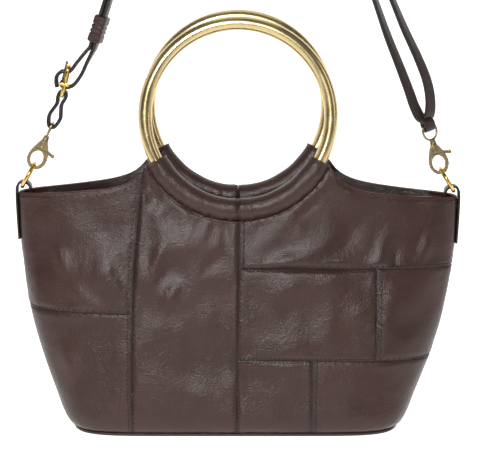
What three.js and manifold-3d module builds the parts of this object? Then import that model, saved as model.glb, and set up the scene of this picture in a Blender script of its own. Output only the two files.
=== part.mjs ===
// A crossbody bag: a patchwork leather body with two ring handles and a doubled shoulder strap.
// Millimetres, +Z up, the bag's front faces -Y and +X is to the right of someone who looks at it.
// The origin is under the highest point of the strap, where it hangs over what holds the bag.

import * as THREE from "three";
import { mergeVertices } from "three/addons/utils/BufferGeometryUtils.js";
import Module from "manifold-3d";

const wasm = await Module();
wasm.setup();

// Body sizes
const BAG_WIDTH = 336;
const BAG_HEIGHT = 179.5;
const LEFT_END_RISE = 2;
const RIGHT_END_RISE = -1.5;
const BASE_DEPTH = 104;
const LEATHER = 2;
const BASE_LEATHER = 2.4;
const BASE_INSET = 0.6;
const SEAM_GAP = 0.3;
const FACING_LEATHER = 1.4;
const FACING_GAP = 0.7;
const FACING_HEIGHT = 19;
const FACING_END = 19;

// Ring handles and the sleeves that hold them
const RING_DIAMETER = 150;
const RING_TUBE = 10.4;
const RING_LEAN = THREE.MathUtils.degToRad(8.6);
const RING_SIDES = 10;
const RING_STEPS = 34;
const SLEEVE_LEATHER = 3;
const SLEEVE_CLEARANCE = 0.4;
const SLEEVE_END_ANGLE = THREE.MathUtils.degToRad(28);
const CREASE_HEIGHT = 163.5;

// Seams of the patchwork: places across the front, and heights over the base
const MIDDLE_SEAM_TOP = 1;
const MIDDLE_SEAM_FOOT = -1;
const SIDE_SEAM = 105;
const LOW_SEAM = 56;
const LEFT_BAND = 94;
const UPPER_BAND = 128.2;
const UPPER_BAND_FALL = 3;
const LOWER_BAND = 59.5;
const LOWER_BAND_FALL = 4;

// Side tabs and their rings
const TAB_WIDTH = 10;
const TAB_LEATHER = 1.7;
const TAB_REACH = 37;
const TAB_INNER_REACH = 14;
const TAB_SLACK = 0.4;
const O_RING_DIAMETER = 23;
const O_RING_WIRE = 3;
const O_RING_RISE = 3.6;
const O_RING_INSET = 2.8;
const TOUCH_GAP = 0.3;

// Swivel clasps, measured from the pin of the gate
const CLASP_THICKNESS = 3.4;
const CLASP_HEAD_THICKNESS = 4.8;
const CLASP_FOOT = 18.2;
const CLASP_HOLE_FOOT = 15.7;
const CLASP_HOLE_TOP = 2.9;
const CLASP_HOLE_WIDTH = 9.8;
const GATE_REACH = 11.9;
const GATE_TOP = 4.5;
const GATE_ARM = 1.5;
const SLOT_WIDTH = 2.1;
const PIN_RADIUS = 1.1;
const HUB_RADIUS = 2.5;
const LEVER_REACH = 11;
const NECK_TOP = 8;
const NECK_RADIUS = 2.9;
const EYE_BAR_RISE = 20.2;
const EYE_WIDTH = 11.6;
const EYE_WIRE = 1.9;

// Strap, keeper and buckle
const STRAP_WIDTH = 9;
const STRAP_LEATHER = 2.6;
const STRAP_LAYER_GAP = 0.4;
const ARCH_RADIUS = 60;
const ARCH_HEIGHT = 421.5;
const KEEPER_LENGTH = 20.4;
const KEEPER_LEATHER = 1.9;
const KEEPER_TURN = 14;
const BUCKLE_LENGTH = 24.8;
const BUCKLE_WIDTH = 15.4;
const BUCKLE_WIRE = 2.6;
const BUCKLE_LEAN = THREE.MathUtils.degToRad(14);
const BUCKLE_BAR = 2.4;
const BUCKLE_BAR_DROP = 2;
const BUCKLE_CROSS = 7.4;
const PRONG_WIRE = 1.6;
const PRONG_TIP = 2.4;

// Level sections of the body. Height is a share of BAG_HEIGHT, width of half BAG_WIDTH, front and
// back of half BASE_DEPTH. Square and round are the powers that shape the section's outline, and
// drift is its middle's place across the bag, in millimetres.
const SECTIONS = [
  { height: 0, width: 0.742, front: 0.91, back: 0.91, square: 8, round: 0.3, drift: -2 },
  { height: 0.06, width: 0.79, front: 1, back: 1, square: 7.5, round: 0.3, drift: -2 },
  { height: 0.15, width: 0.83, front: 0.97, back: 0.96, square: 6, round: 0.31, drift: -1.8 },
  { height: 0.3, width: 0.891, front: 0.9, back: 0.88, square: 4.4, round: 0.33, drift: -1.3 },
  { height: 0.5, width: 0.951, front: 0.8, back: 0.76, square: 3.2, round: 0.36, drift: -0.6 },
  { height: 0.75, width: 0.99, front: 0.645, back: 0.61, square: 2.4, round: 0.4, drift: -0.1 },
  { height: 0.95, width: 1, front: 0.515, back: 0.52, square: 2, round: 0.42, drift: 0 },
  { height: 1.2, width: 1, front: 0.43, back: 0.6, square: 2, round: 0.42, drift: 0 },
];

// How the rim falls from the sleeve's end to the bag's end: across and fall are shares of the way.
const RIM_FALL = [
  { across: 0, fall: 0 },
  { across: 0.05, fall: 0.31 },
  { across: 0.14, fall: 0.57 },
  { across: 0.29, fall: 0.75 },
  { across: 0.57, fall: 0.89 },
  { across: 0.86, fall: 0.97 },
  { across: 1, fall: 1 },
];

// The two sides. Tilt is the ring's lean towards the bag's middle, lean the clasp's, and turn the
// eye's swing on its swivel, in degrees.
const SIDES = [
  { name: "left", side: -1, tilt: 29, lean: 25, turn: 90 },
  { name: "right", side: 1, tilt: 31.4, lean: 17, turn: 25 },
];

// Route of the strap's two strands between the right clasp and the arch. Along and the bows are
// shares of the strand's length, turn is the twist of the strap in degrees.
const RIGHT_STRANDS = [
  { along: 0.035, inner: -0.012, outer: 0.016, turn: 62 },
  { along: 0.075, inner: -0.018, outer: 0.035, turn: 55 },
  { along: 0.14, inner: -0.016, outer: 0.048, turn: 48 },
  { along: 0.22, inner: -0.015, outer: 0.048, turn: 42 },
  { along: 0.33, inner: -0.015, outer: 0.04, turn: 34 },
  { along: 0.46, inner: -0.01, outer: 0.035, turn: 22 },
  { along: 0.7, inner: -0.004, outer: 0.018, turn: 10 },
];

// Routes at the buckle, in the buckle's own frame: right and up are shares of BUCKLE_LENGTH.
const FIXED_END = [
  { right: 0.5, up: 0.68 },
  { right: 0.415, up: 0.29 },
  { right: 0.24, up: -0.08 },
];
const FREE_END = [
  { right: 0.41, up: 1.05 },
  { right: 0.2, up: 0.62 },
  { right: 0.05, up: 0.32 },
  { right: -0.17, up: 0.265 },
  { right: -0.29, up: 0.1 },
  { right: -0.275, up: -0.09 },
  { right: -0.215, up: -0.235 },
];
const KEEPER_PLACE = { right: 0.62, up: 1.78 };
const BUCKLE_PLACE = { right: 0.105, up: 1.385 };

// The short loop between the buckle and the left clasp: along is a share of its length, spread
// the distance of each strand from the middle line in strap thicknesses.
const SHORT_LOOP = [
  { along: 0.06, spread: 1.1 },
  { along: 0.3, spread: 0.7 },
  { along: 0.55, spread: 1.25 },
  { along: 0.72, spread: 1.65 },
  { along: 0.88, spread: 1.5 },
];

// The left seam's places across the front, by its height as a share of BAG_HEIGHT.
const LEFT_SEAM = [
  { height: 0, across: -80.5 },
  { height: 0.35, across: -80.2 },
  { height: 0.65, across: -79 },
  { height: 0.85, across: -76.3 },
  { height: 1.1, across: -71.5 },
];

// Materials
const leather = new THREE.MeshStandardMaterial({ color: "#4b3934", roughness: 0.55, metalness: 0 });
const darkLeather = new THREE.MeshStandardMaterial({ color: "#33261f", roughness: 0.6, metalness: 0 });
const ringGold = new THREE.MeshStandardMaterial({ color: "#c9b06a", roughness: 0.3, metalness: 1 });
const brightGold = new THREE.MeshStandardMaterial({ color: "#d9a93c", roughness: 0.2, metalness: 1 });
const antiqueBrass = new THREE.MeshStandardMaterial({ color: "#a48a57", roughness: 0.4, metalness: 1 });

// Tables and small sums

/** Reads a column of a table at a place between its rows, with a smooth run through them. */
function read(table, key, column, at) {
  const last = table.length - 1;
  let row = 0;
  while (row < last - 1 && at > table[row + 1][key]) {
    row += 1;
  }
  const slope = (i) => {
    const a = table[Math.max(0, i - 1)];
    const b = table[Math.min(last, i + 1)];
    return (b[column] - a[column]) / (b[key] - a[key]);
  };
  const from = table[row];
  const to = table[row + 1];
  const span = to[key] - from[key];
  const share = THREE.MathUtils.clamp((at - from[key]) / span, 0, 1);
  const square = share * share;
  const cube = square * share;
  return (
    (2 * cube - 3 * square + 1) * from[column] +
    (cube - 2 * square + share) * span * slope(row) +
    (3 * square - 2 * cube) * to[column] +
    (cube - square) * span * slope(row + 1)
  );
}

const mix = (a, b, share) => a + (b - a) * share;

// Closed solids

/** A closed geometry from points and triangles, turned so that its faces point out. */
function closedGeometry(points, triangles) {
  let volume = 0;
  for (const [a, b, c] of triangles) {
    volume += points[a].dot(new THREE.Vector3().crossVectors(points[b], points[c]));
  }
  const geometry = new THREE.BufferGeometry();
  geometry.setAttribute("position", new THREE.Float32BufferAttribute(points.flatMap((p) => p.toArray()), 3));
  geometry.setIndex(triangles.flatMap(([a, b, c]) => (volume < 0 ? [a, c, b] : [a, b, c])));
  geometry.computeVertexNormals();
  return geometry;
}

/** A sheet with a thickness: two grids of points, outside and inside, joined round their edge. */
function sheet(columns, rows, outside, inside) {
  const points = [];
  const triangles = [];
  for (const layer of [outside, inside]) {
    for (let i = 0; i <= columns; i += 1) {
      for (let j = 0; j <= rows; j += 1) {
        points.push(layer(i, j));
      }
    }
  }
  const at = (i, j, layer) => layer * (columns + 1) * (rows + 1) + i * (rows + 1) + j;
  const quad = (a, b, c, d) => triangles.push([a, b, c], [a, c, d]);
  for (let i = 0; i < columns; i += 1) {
    for (let j = 0; j < rows; j += 1) {
      quad(at(i, j, 0), at(i + 1, j, 0), at(i + 1, j + 1, 0), at(i, j + 1, 0));
      quad(at(i, j, 1), at(i, j + 1, 1), at(i + 1, j + 1, 1), at(i + 1, j, 1));
    }
  }
  for (let i = 0; i < columns; i += 1) {
    quad(at(i, 0, 0), at(i, 0, 1), at(i + 1, 0, 1), at(i + 1, 0, 0));
    quad(at(i, rows, 0), at(i + 1, rows, 0), at(i + 1, rows, 1), at(i, rows, 1));
  }
  for (let j = 0; j < rows; j += 1) {
    quad(at(0, j, 0), at(0, j + 1, 0), at(0, j + 1, 1), at(0, j, 1));
    quad(at(columns, j, 0), at(columns, j, 1), at(columns, j + 1, 1), at(columns, j + 1, 0));
  }
  return closedGeometry(points, triangles);
}

/** A bar with the same section all the way: rings of points, capped at both ends or closed on itself. */
function bar(rings, closed = false) {
  const sides = rings[0].length;
  const points = rings.flat();
  const triangles = [];
  const spans = closed ? rings.length : rings.length - 1;
  for (let i = 0; i < spans; i += 1) {
    const next = (i + 1) % rings.length;
    for (let j = 0; j < sides; j += 1) {
      const k = (j + 1) % sides;
      triangles.push([i * sides + j, next * sides + j, next * sides + k]);
      triangles.push([i * sides + j, next * sides + k, i * sides + k]);
    }
  }
  for (let j = 1; j < sides - 1 && !closed; j += 1) {
    const end = (rings.length - 1) * sides;
    triangles.push([0, j, j + 1], [end, end + j + 1, end + j]);
  }
  return closedGeometry(points, triangles);
}

/** Rings of a flat section along stations, each with a point, a way along and a way across. */
function ringsAlong(stations, section) {
  return stations.map(({ point, along, across }) => {
    const wide = across.clone().addScaledVector(along, -across.dot(along)).normalize();
    const thick = new THREE.Vector3().crossVectors(along, wide);
    return section.map(([a, b]) => point.clone().addScaledVector(wide, a).addScaledVector(thick, b));
  });
}

/** Stations along a smooth curve through points, with the way across turned from one row to the next. */
function stationsAlong(rows, steps, closed = false) {
  const curve = new THREE.CatmullRomCurve3(rows.map((row) => row.point), closed, "centripetal");
  const spans = closed ? rows.length : rows.length - 1;
  const count = spans * steps;
  const stations = [];
  for (let i = 0; i < (closed ? count : count + 1); i += 1) {
    const place = i / steps;
    const row = Math.min(Math.floor(place), spans - 1);
    const from = rows[row].across;
    const to = rows[(row + 1) % rows.length].across;
    stations.push({
      point: curve.getPoint(i / count),
      along: curve.getTangent(i / count).normalize(),
      across: from.clone().lerp(to, place - row),
    });
  }
  return stations;
}

/** The section of a flat strap. */
function strapSection(width, thickness) {
  const w = width / 2;
  const t = thickness / 2;
  return [[w, t], [-w, t], [-w, -t], [w, -t]];
}

/** The section of a round wire. */
function roundSection(diameter, sides) {
  return Array.from({ length: sides }, (_, i) => {
    const angle = (i / sides) * Math.PI * 2;
    return [(Math.cos(angle) * diameter) / 2, (Math.sin(angle) * diameter) / 2];
  });
}

const WAY_BACK = new THREE.Vector3(0, 1, 0);

/** The way across a strap that is turned about the vertical, from edge-on towards face-on. */
function acrossAt(degrees) {
  const angle = THREE.MathUtils.degToRad(degrees);
  return new THREE.Vector3(Math.sin(angle), Math.cos(angle), 0);
}

// Cutting and joining

/** A solid for cutting and joining, from a three.js geometry. */
function solidOf(geometry) {
  const bare = geometry.clone();
  bare.deleteAttribute("normal");
  bare.deleteAttribute("uv");
  const merged = mergeVertices(bare);
  return new wasm.Manifold(
    new wasm.Mesh({
      numProp: 3,
      vertProperties: new Float32Array(merged.attributes.position.array),
      triVerts: new Uint32Array(merged.index.array),
    }),
  );
}

/** A three.js geometry from a cut or joined solid. */
function geometryOf(solid) {
  const mesh = solid.getMesh();
  const geometry = new THREE.BufferGeometry();
  geometry.setAttribute("position", new THREE.Float32BufferAttribute(mesh.vertProperties, 3));
  geometry.setIndex(Array.from(mesh.triVerts));
  geometry.computeVertexNormals();
  return geometry;
}

/** A flat outline given a thickness along Y: the outline's own up is +Z, and it is centred on Y. */
function plate(outline, thickness, holes = []) {
  const shape = new THREE.Shape(outline.map(([x, z]) => new THREE.Vector2(x, z)));
  shape.holes = holes.map((hole) => new THREE.Path(hole.map(([x, z]) => new THREE.Vector2(x, z))));
  const geometry = new THREE.ExtrudeGeometry(shape, { depth: thickness, bevelEnabled: false });
  return geometry.rotateX(Math.PI / 2).translate(0, thickness / 2, 0);
}

/** A disc or rod of the given radius along Y, centred on a place in the XZ plane. */
function rod(radius, length, sides = 12, x = 0, z = 0) {
  return new THREE.CylinderGeometry(radius, radius, length, sides).translate(x, 0, z);
}

/** A straight-sided block centred on a place. */
function block(width, depth, height, x = 0, y = 0, z = 0) {
  return new THREE.BoxGeometry(width, depth, height).translate(x, y, z);
}

/** An oval outline with its points in order. */
function oval(halfWidth, bottom, top, count, x = 0) {
  return Array.from({ length: count }, (_, i) => {
    const angle = (i / count) * Math.PI * 2;
    return [x + halfWidth * Math.cos(angle), (top + bottom) / 2 + ((top - bottom) / 2) * Math.sin(angle)];
  });
}

// The skin of the body

const FRONT = -1;
const BACK = 1;

const sectionAt = (column, z) => read(SECTIONS, "height", column, z / BAG_HEIGHT);
const halfWidthAt = (z) => (sectionAt("width", z) * BAG_WIDTH) / 2;
const driftAt = (z) => sectionAt("drift", z);
const halfDepthAt = (face, z) => (sectionAt(face === FRONT ? "front" : "back", z) * BASE_DEPTH) / 2;

/** How far across the bag the skin is at an angle and a height. */
const acrossAtAngle = (angle, z) => driftAt(z) + halfWidthAt(z) * Math.sin(angle);

/** A point of the outer skin. The angle runs from -90 degrees at the left side to 90 at the right. */
function skinPoint(face, angle, z) {
  const reach = Math.abs(Math.sin(angle));
  const inside = Math.max(0, 1 - Math.pow(reach, sectionAt("square", z)));
  const depth = halfDepthAt(face, z) * Math.pow(inside, sectionAt("round", z));
  return new THREE.Vector3(acrossAtAngle(angle, z), face * (SEAM_GAP / 2 + depth), z);
}

/** The way out of the skin at a point. */
function skinNormal(face, angle, z) {
  const step = 0.004;
  const limit = Math.PI / 2;
  const a = skinPoint(face, Math.max(-limit, angle - step), z);
  const b = skinPoint(face, Math.min(limit, angle + step), z);
  const low = skinPoint(face, angle, z - 1);
  const high = skinPoint(face, angle, z + 1);
  const normal = new THREE.Vector3().crossVectors(b.sub(a), high.sub(low)).normalize();
  return normal.multiplyScalar(-face);
}

/** The angle at which the skin at a height reaches a place across the bag. */
const angleAt = (x, z) => Math.asin(THREE.MathUtils.clamp((x - driftAt(z)) / halfWidthAt(z), -1, 1));

// Rings, sleeves and the rim that they leave

const ringRadius = (RING_DIAMETER - RING_TUBE) / 2;
const sleeveRadius = RING_TUBE / 2 + SLEEVE_CLEARANCE + SLEEVE_LEATHER;
const creaseRadius = ringRadius + sleeveRadius + SEAM_GAP;
const sleeveEnd = {
  x: creaseRadius * Math.cos(SLEEVE_END_ANGLE),
  z: CREASE_HEIGHT + creaseRadius * (1 - Math.sin(SLEEVE_END_ANGLE)) * Math.cos(RING_LEAN),
};

/** The middle of a ring handle, in line with the panel that holds it. */
function ringCentre(face) {
  const tubeHeight = CREASE_HEIGHT + (creaseRadius - ringRadius) * Math.cos(RING_LEAN);
  const tubeDepth = face * (halfDepthAt(face, tubeHeight) + SEAM_GAP / 2);
  return new THREE.Vector3(
    0,
    tubeDepth + ringRadius * Math.sin(RING_LEAN),
    tubeHeight + ringRadius * Math.cos(RING_LEAN),
  );
}

/** The height of the rim at the bag's end, on one side. */
const endHeight = (side) => BAG_HEIGHT + (side < 0 ? LEFT_END_RISE : RIGHT_END_RISE);

/** The height of the panel's upper edge: round the sleeve in the middle, and down the rim beside it. */
function rimHeight(x) {
  const reach = Math.abs(x);
  if (reach < sleeveEnd.x) {
    const drop = Math.sqrt(creaseRadius ** 2 - reach ** 2);
    return CREASE_HEIGHT + (creaseRadius - drop) * Math.cos(RING_LEAN);
  }
  const share = (reach - sleeveEnd.x) / (BAG_WIDTH / 2 - sleeveEnd.x);
  return mix(sleeveEnd.z, endHeight(x), read(RIM_FALL, "across", "fall", Math.min(1, share)));
}

// Panels and patches

const panelFoot = () => BASE_LEATHER + SEAM_GAP;

/** A seam that runs up the bag, with the place that it has at the rim's height and at the base. */
const upSeam = (top, foot) => (z) => mix(foot, top, z / BAG_HEIGHT);

/** A seam that runs across the bag, falling towards the side. */
const bandSeam = (height, fall) => (x) => height - fall * Math.pow(Math.abs(x) / (BAG_WIDTH / 2), 2);

/** Part of the skin as a sheet, between stops across the bag and between two heights. */
function panel(face, stops, bottom, top, rows, outset = 0, thickness = LEATHER) {
  const columns = stops.slice(1).reduce((sum, stop) => sum + stop.columns, 0);
  const angleOfStop = (stop, z) => (stop.side ? (stop.side * Math.PI) / 2 : angleAt(stop.x(z), z));
  const columnAngle = (i, z) => {
    let index = 1;
    let left = i;
    while (left > stops[index].columns) {
      left -= stops[index].columns;
      index += 1;
    }
    const share = left / stops[index].columns;
    const from = stops[index - 1];
    const to = stops[index];
    const eased = to.side ? 1 - Math.pow(1 - share, 1.7) : from.side ? Math.pow(share, 1.7) : share;
    return mix(angleOfStop(from, z), angleOfStop(to, z), eased);
  };
  const heightOn = (i, edge) => {
    let z = BAG_HEIGHT / 2;
    for (let round = 0; round < 12; round += 1) {
      z = edge(acrossAtAngle(columnAngle(i, z), z));
    }
    return z;
  };
  const heights = Array.from({ length: columns + 1 }, (_, i) => [heightOn(i, bottom), heightOn(i, top)]);
  const layer = (depth) => (i, j) => {
    const z = mix(heights[i][0], heights[i][1], j / rows);
    const angle = columnAngle(i, z);
    return skinPoint(face, angle, z).addScaledVector(skinNormal(face, angle, z), depth);
  };
  return sheet(columns, rows, layer(outset), layer(outset - thickness));
}

const leftSeam = (z) => read(LEFT_SEAM, "height", "across", z / BAG_HEIGHT);
const middleSeam = upSeam(MIDDLE_SEAM_TOP, MIDDLE_SEAM_FOOT);
const sideSeam = upSeam(SIDE_SEAM, SIDE_SEAM);
const lowSeam = upSeam(LOW_SEAM, LOW_SEAM);
const leftBand = bandSeam(LEFT_BAND, 0);
const upperBand = bandSeam(UPPER_BAND, UPPER_BAND_FALL);
const lowerBand = bandSeam(LOWER_BAND, LOWER_BAND_FALL);

const LEFT_SIDE = { side: -1 };
const stopAt = (seam, gap, columns) => ({ x: (z) => seam(z) + (gap * SEAM_GAP) / 2, columns });
const sideStop = (columns) => ({ side: 1, columns });
const over = (band) => (x) => band(x) + SEAM_GAP / 2;
const under = (band) => (x) => band(x) - SEAM_GAP / 2;
const sleeveStop = (side, columns) => ({ x: () => side * sleeveEnd.x, columns });

const PATCHES = [
  { name: "patch_left_top", stops: [LEFT_SIDE, stopAt(leftSeam, -1, 9)], bottom: over(leftBand), top: rimHeight, rows: 6 },
  { name: "patch_left_low", stops: [LEFT_SIDE, stopAt(leftSeam, -1, 9)], bottom: panelFoot, top: under(leftBand), rows: 6 },
  {
    name: "patch_centre",
    stops: [stopAt(leftSeam, 1, 0), sleeveStop(-1, 1), stopAt(middleSeam, -1, 7)],
    bottom: panelFoot,
    top: rimHeight,
    rows: 9,
  },
  {
    name: "patch_right_top",
    stops: [stopAt(middleSeam, 1, 0), sleeveStop(1, 7), sideStop(9)],
    bottom: over(upperBand),
    top: rimHeight,
    rows: 5,
  },
  {
    name: "patch_right_mid",
    stops: [stopAt(middleSeam, 1, 0), stopAt(sideSeam, -1, 6)],
    bottom: over(lowerBand),
    top: under(upperBand),
    rows: 4,
  },
  {
    name: "patch_right_side",
    stops: [stopAt(sideSeam, 1, 0), sideStop(7)],
    bottom: over(lowerBand),
    top: under(upperBand),
    rows: 4,
  },
  {
    name: "patch_low_inner",
    stops: [stopAt(middleSeam, 1, 0), stopAt(lowSeam, -1, 4)],
    bottom: panelFoot,
    top: under(lowerBand),
    rows: 5,
  },
  {
    name: "patch_low_outer",
    stops: [stopAt(lowSeam, 1, 0), sideStop(9)],
    bottom: panelFoot,
    top: under(lowerBand),
    rows: 5,
  },
];

const wholeWidth = (columns) => [
  LEFT_SIDE,
  sleeveStop(-1, columns),
  sleeveStop(1, columns * 2),
  sideStop(columns),
];

/** The facing folded in along a panel's upper edge, inside the bag. */
function facing(face) {
  const end = BAG_WIDTH / 2 - FACING_END;
  const stops = [
    { x: () => -end, columns: 0 },
    sleeveStop(-1, 6),
    sleeveStop(1, 14),
    { x: () => end, columns: 6 },
  ];
  const foot = (x) => rimHeight(x) - FACING_HEIGHT;
  return panel(face, stops, foot, rimHeight, 2, -LEATHER - FACING_GAP, FACING_LEATHER);
}

/** The flat base under the walls, with the outline of their foot. */
function basePanel() {
  const steps = 24;
  const outline = [];
  for (const face of [FRONT, BACK]) {
    for (let i = 0; i < steps; i += 1) {
      const share = i / steps;
      const angle = face * (0.5 - share) * Math.PI;
      const point = skinPoint(face, angle, panelFoot());
      const middle = driftAt(panelFoot());
      outline.push([
        middle + (point.x - middle) * (1 - (2 * BASE_INSET) / BAG_WIDTH),
        point.y * (1 - (2 * BASE_INSET) / BASE_DEPTH),
      ]);
    }
  }
  const shape = new THREE.Shape(outline.map(([x, y]) => new THREE.Vector2(x, y)));
  return new THREE.ExtrudeGeometry(shape, { depth: BASE_LEATHER, bevelEnabled: false });
}

/** Half of a sleeve, in the ring's own plane, from the middle seam to its hemmed end. */
function sleeveHalf(side) {
  const sides = RING_SIDES;
  const steps = 8;
  const bottom = -Math.PI / 2;
  const from = bottom + (side * SEAM_GAP) / 2 / ringRadius;
  const to = side > 0 ? -SLEEVE_END_ANGLE : SLEEVE_END_ANGLE - Math.PI;
  const tube = (radius) => (i, j) => {
    const angle = mix(from, to, i / steps);
    const turn = (j / sides) * Math.PI * 2;
    const reach = ringRadius + radius * Math.cos(turn);
    return new THREE.Vector3(reach * Math.cos(angle), reach * Math.sin(angle), radius * Math.sin(turn));
  };
  const outside = tube(sleeveRadius);
  const bore = tube(sleeveRadius - SLEEVE_LEATHER);
  const points = [];
  const triangles = [];
  for (const layer of [outside, bore]) {
    for (let i = 0; i <= steps; i += 1) {
      for (let j = 0; j < sides; j += 1) {
        points.push(layer(i, j));
      }
    }
  }
  const at = (i, j, layer) => (layer * (steps + 1) + i) * sides + (j % sides);
  const quad = (a, b, c, d) => triangles.push([a, b, c], [a, c, d]);
  for (let j = 0; j < sides; j += 1) {
    for (let i = 0; i < steps; i += 1) {
      quad(at(i, j, 0), at(i + 1, j, 0), at(i + 1, j + 1, 0), at(i, j + 1, 0));
      quad(at(i, j, 1), at(i, j + 1, 1), at(i + 1, j + 1, 1), at(i + 1, j, 1));
    }
    quad(at(0, j, 0), at(0, j + 1, 0), at(0, j + 1, 1), at(0, j, 1));
    quad(at(steps, j, 0), at(steps, j, 1), at(steps, j + 1, 1), at(steps, j + 1, 0));
  }
  return closedGeometry(points, triangles);
}

// Side tabs, O-rings and clasps

const oRingRadius = (O_RING_DIAMETER - O_RING_WIRE) / 2;

/** Where the lower wire of an O-ring lies in its tab. */
const ringSeat = (side) => new THREE.Vector3(side * (BAG_WIDTH / 2 - O_RING_INSET), 0, endHeight(side) + O_RING_RISE);

/** A tab: up the outside of the side, over the O-ring's wire and down the inside. */
function tab(side) {
  const seat = ringSeat(side);
  const hold = O_RING_WIRE / 2 + TOUCH_GAP + TAB_SLACK + TAB_LEATHER / 2;
  const outside = (z) => halfWidthAt(z) + TOUCH_GAP + TAB_LEATHER / 2;
  const rim = endHeight(side);
  const route = [
    [outside(rim - TAB_REACH), rim - TAB_REACH],
    [outside(rim - TAB_REACH / 2), rim - TAB_REACH / 2],
    [outside(rim), rim],
    [Math.abs(seat.x) + hold + 0.4, seat.z + 1],
    [Math.abs(seat.x) + hold * 0.55, seat.z + hold + 0.2],
    [Math.abs(seat.x) - hold * 0.75, seat.z + hold + 0.6],
    [Math.abs(seat.x) - hold * 1.9, seat.z + 1],
    [Math.abs(seat.x) - hold * 2, rim - 2],
    [Math.abs(seat.x) - hold * 2, rim - TAB_INNER_REACH],
  ];
  const rows = route.map(([x, z]) => ({ point: new THREE.Vector3(side * x, 0, z), across: WAY_BACK }));
  return bar(ringsAlong(stationsAlong(rows, 2), strapSection(TAB_WIDTH, TAB_LEATHER)));
}

/** The frame of a clasp: the place of its pin and its lean. */
function claspFrame({ side, tilt, lean }) {
  const ringTilt = THREE.MathUtils.degToRad(tilt);
  const claspLean = THREE.MathUtils.degToRad(lean);
  const seat = ringSeat(side);
  const ringMiddle = seat.clone().add(
    new THREE.Vector3(-side * Math.sin(ringTilt), 0, Math.cos(ringTilt)).multiplyScalar(oRingRadius),
  );
  const ringTop = seat.clone().lerp(ringMiddle, 2);
  const wireSeat = CLASP_HOLE_FOOT - O_RING_WIRE / 2 - TOUCH_GAP;
  const up = new THREE.Vector3(-side * Math.sin(claspLean), 0, Math.cos(claspLean));
  const pin = ringTop.addScaledVector(up, wireSeat);
  return { ringMiddle, ringTilt, pin, turnY: -side * claspLean, up, bar: pin.clone().addScaledVector(up, EYE_BAR_RISE) };
}

const headOutline = [
  [0, -CLASP_FOOT], [-3.4, -CLASP_FOOT + 0.9], [-6, -CLASP_FOOT + 3.6], [-7.4, -11], [-7.5, -8], [-6.8, -4.6],
  [-5.4, -1], [-4, 2.4], [-2.6, 5.2], [2.6, 5.2], [4.2, 2.4], [5.8, -1], [7.1, -4.6], [7.6, -8], [7.5, -11],
  [6, -CLASP_FOOT + 3.6], [3.4, -CLASP_FOOT + 0.9],
];

/** The part of the claw's outline that the gate closes, grown by a gap round it. */
function gateZone(gap) {
  const reach = solidOf(rod(GATE_REACH + gap, CLASP_HEAD_THICKNESS * 2, 32));
  return reach.intersect(solidOf(block(12, CLASP_HEAD_THICKNESS * 2, 20, -8.6 + gap, 0, -GATE_TOP + gap - 10)));
}

/** The claw's full loop, before the gate's stretch is cut out of it. */
function clawLoop() {
  const hole = oval(CLASP_HOLE_WIDTH / 2, -CLASP_HOLE_FOOT, -CLASP_HOLE_TOP, 16, -0.1);
  return solidOf(plate(headOutline, CLASP_THICKNESS, [hole]));
}

/** The claw: a hook with a slotted head, the gate's pin and the barrel for the swivel. */
function claw() {
  const cheeks = headOutline.filter(([, z]) => z > -4);
  const head = solidOf(plate(cheeks, CLASP_HEAD_THICKNESS)).subtract(
    solidOf(plate(oval(CLASP_HOLE_WIDTH / 2, -CLASP_HOLE_FOOT, -CLASP_HOLE_TOP, 16, -0.1), CLASP_HEAD_THICKNESS * 2)),
  );
  const slotTop = HUB_RADIUS + TOUCH_GAP;
  const barrel = new THREE.CylinderGeometry(NECK_RADIUS * 0.8, NECK_RADIUS, NECK_TOP - slotTop, 12)
    .rotateX(Math.PI / 2)
    .translate(0, 0, (NECK_TOP + slotTop) / 2);
  const slot = block(30, SLOT_WIDTH, slotTop + 6.5, 0, 0, (slotTop - 6.5) / 2);
  const bore = new THREE.LatheGeometry(
    [[0, slotTop - 1], [2.2, slotTop - 1], [2.2, 5.3], [1.6, 5.3], [1.6, NECK_TOP + 1], [0, NECK_TOP + 1]].map(
      ([r, z]) => new THREE.Vector2(r, z),
    ),
    12,
  ).rotateX(Math.PI / 2);
  const body = clawLoop()
    .subtract(gateZone(TOUCH_GAP))
    .add(head)
    .add(solidOf(barrel))
    .subtract(solidOf(slot))
    .subtract(solidOf(bore));
  return geometryOf(body.add(solidOf(rod(PIN_RADIUS, CLASP_HEAD_THICKNESS + 0.8))));
}

/** The gate lever: the gate, its hub on the pin and the thumb tab, as one piece. */
function gateLever() {
  const armOutline = [
    [-2, 1.6], [-6.6, -GATE_TOP + 0.6], [-7, -GATE_TOP - 2], [-5.4, -GATE_TOP - 1.8], [0, -2.3],
    [LEVER_REACH - 1, -4.1], [LEVER_REACH, -2.9], [LEVER_REACH - 1, -1.9], [2, 0.6],
  ];
  const hub = solidOf(rod(HUB_RADIUS, GATE_ARM, 16));
  const thumb = rod(1.5, CLASP_THICKNESS, 10, LEVER_REACH - 0.8, -3);
  const lever = clawLoop()
    .intersect(gateZone(0))
    .add(solidOf(plate(armOutline, GATE_ARM)))
    .add(hub)
    .add(solidOf(thumb));
  return geometryOf(lever.subtract(solidOf(rod(PIN_RADIUS + TOUCH_GAP, CLASP_THICKNESS * 2, 16))));
}

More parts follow.
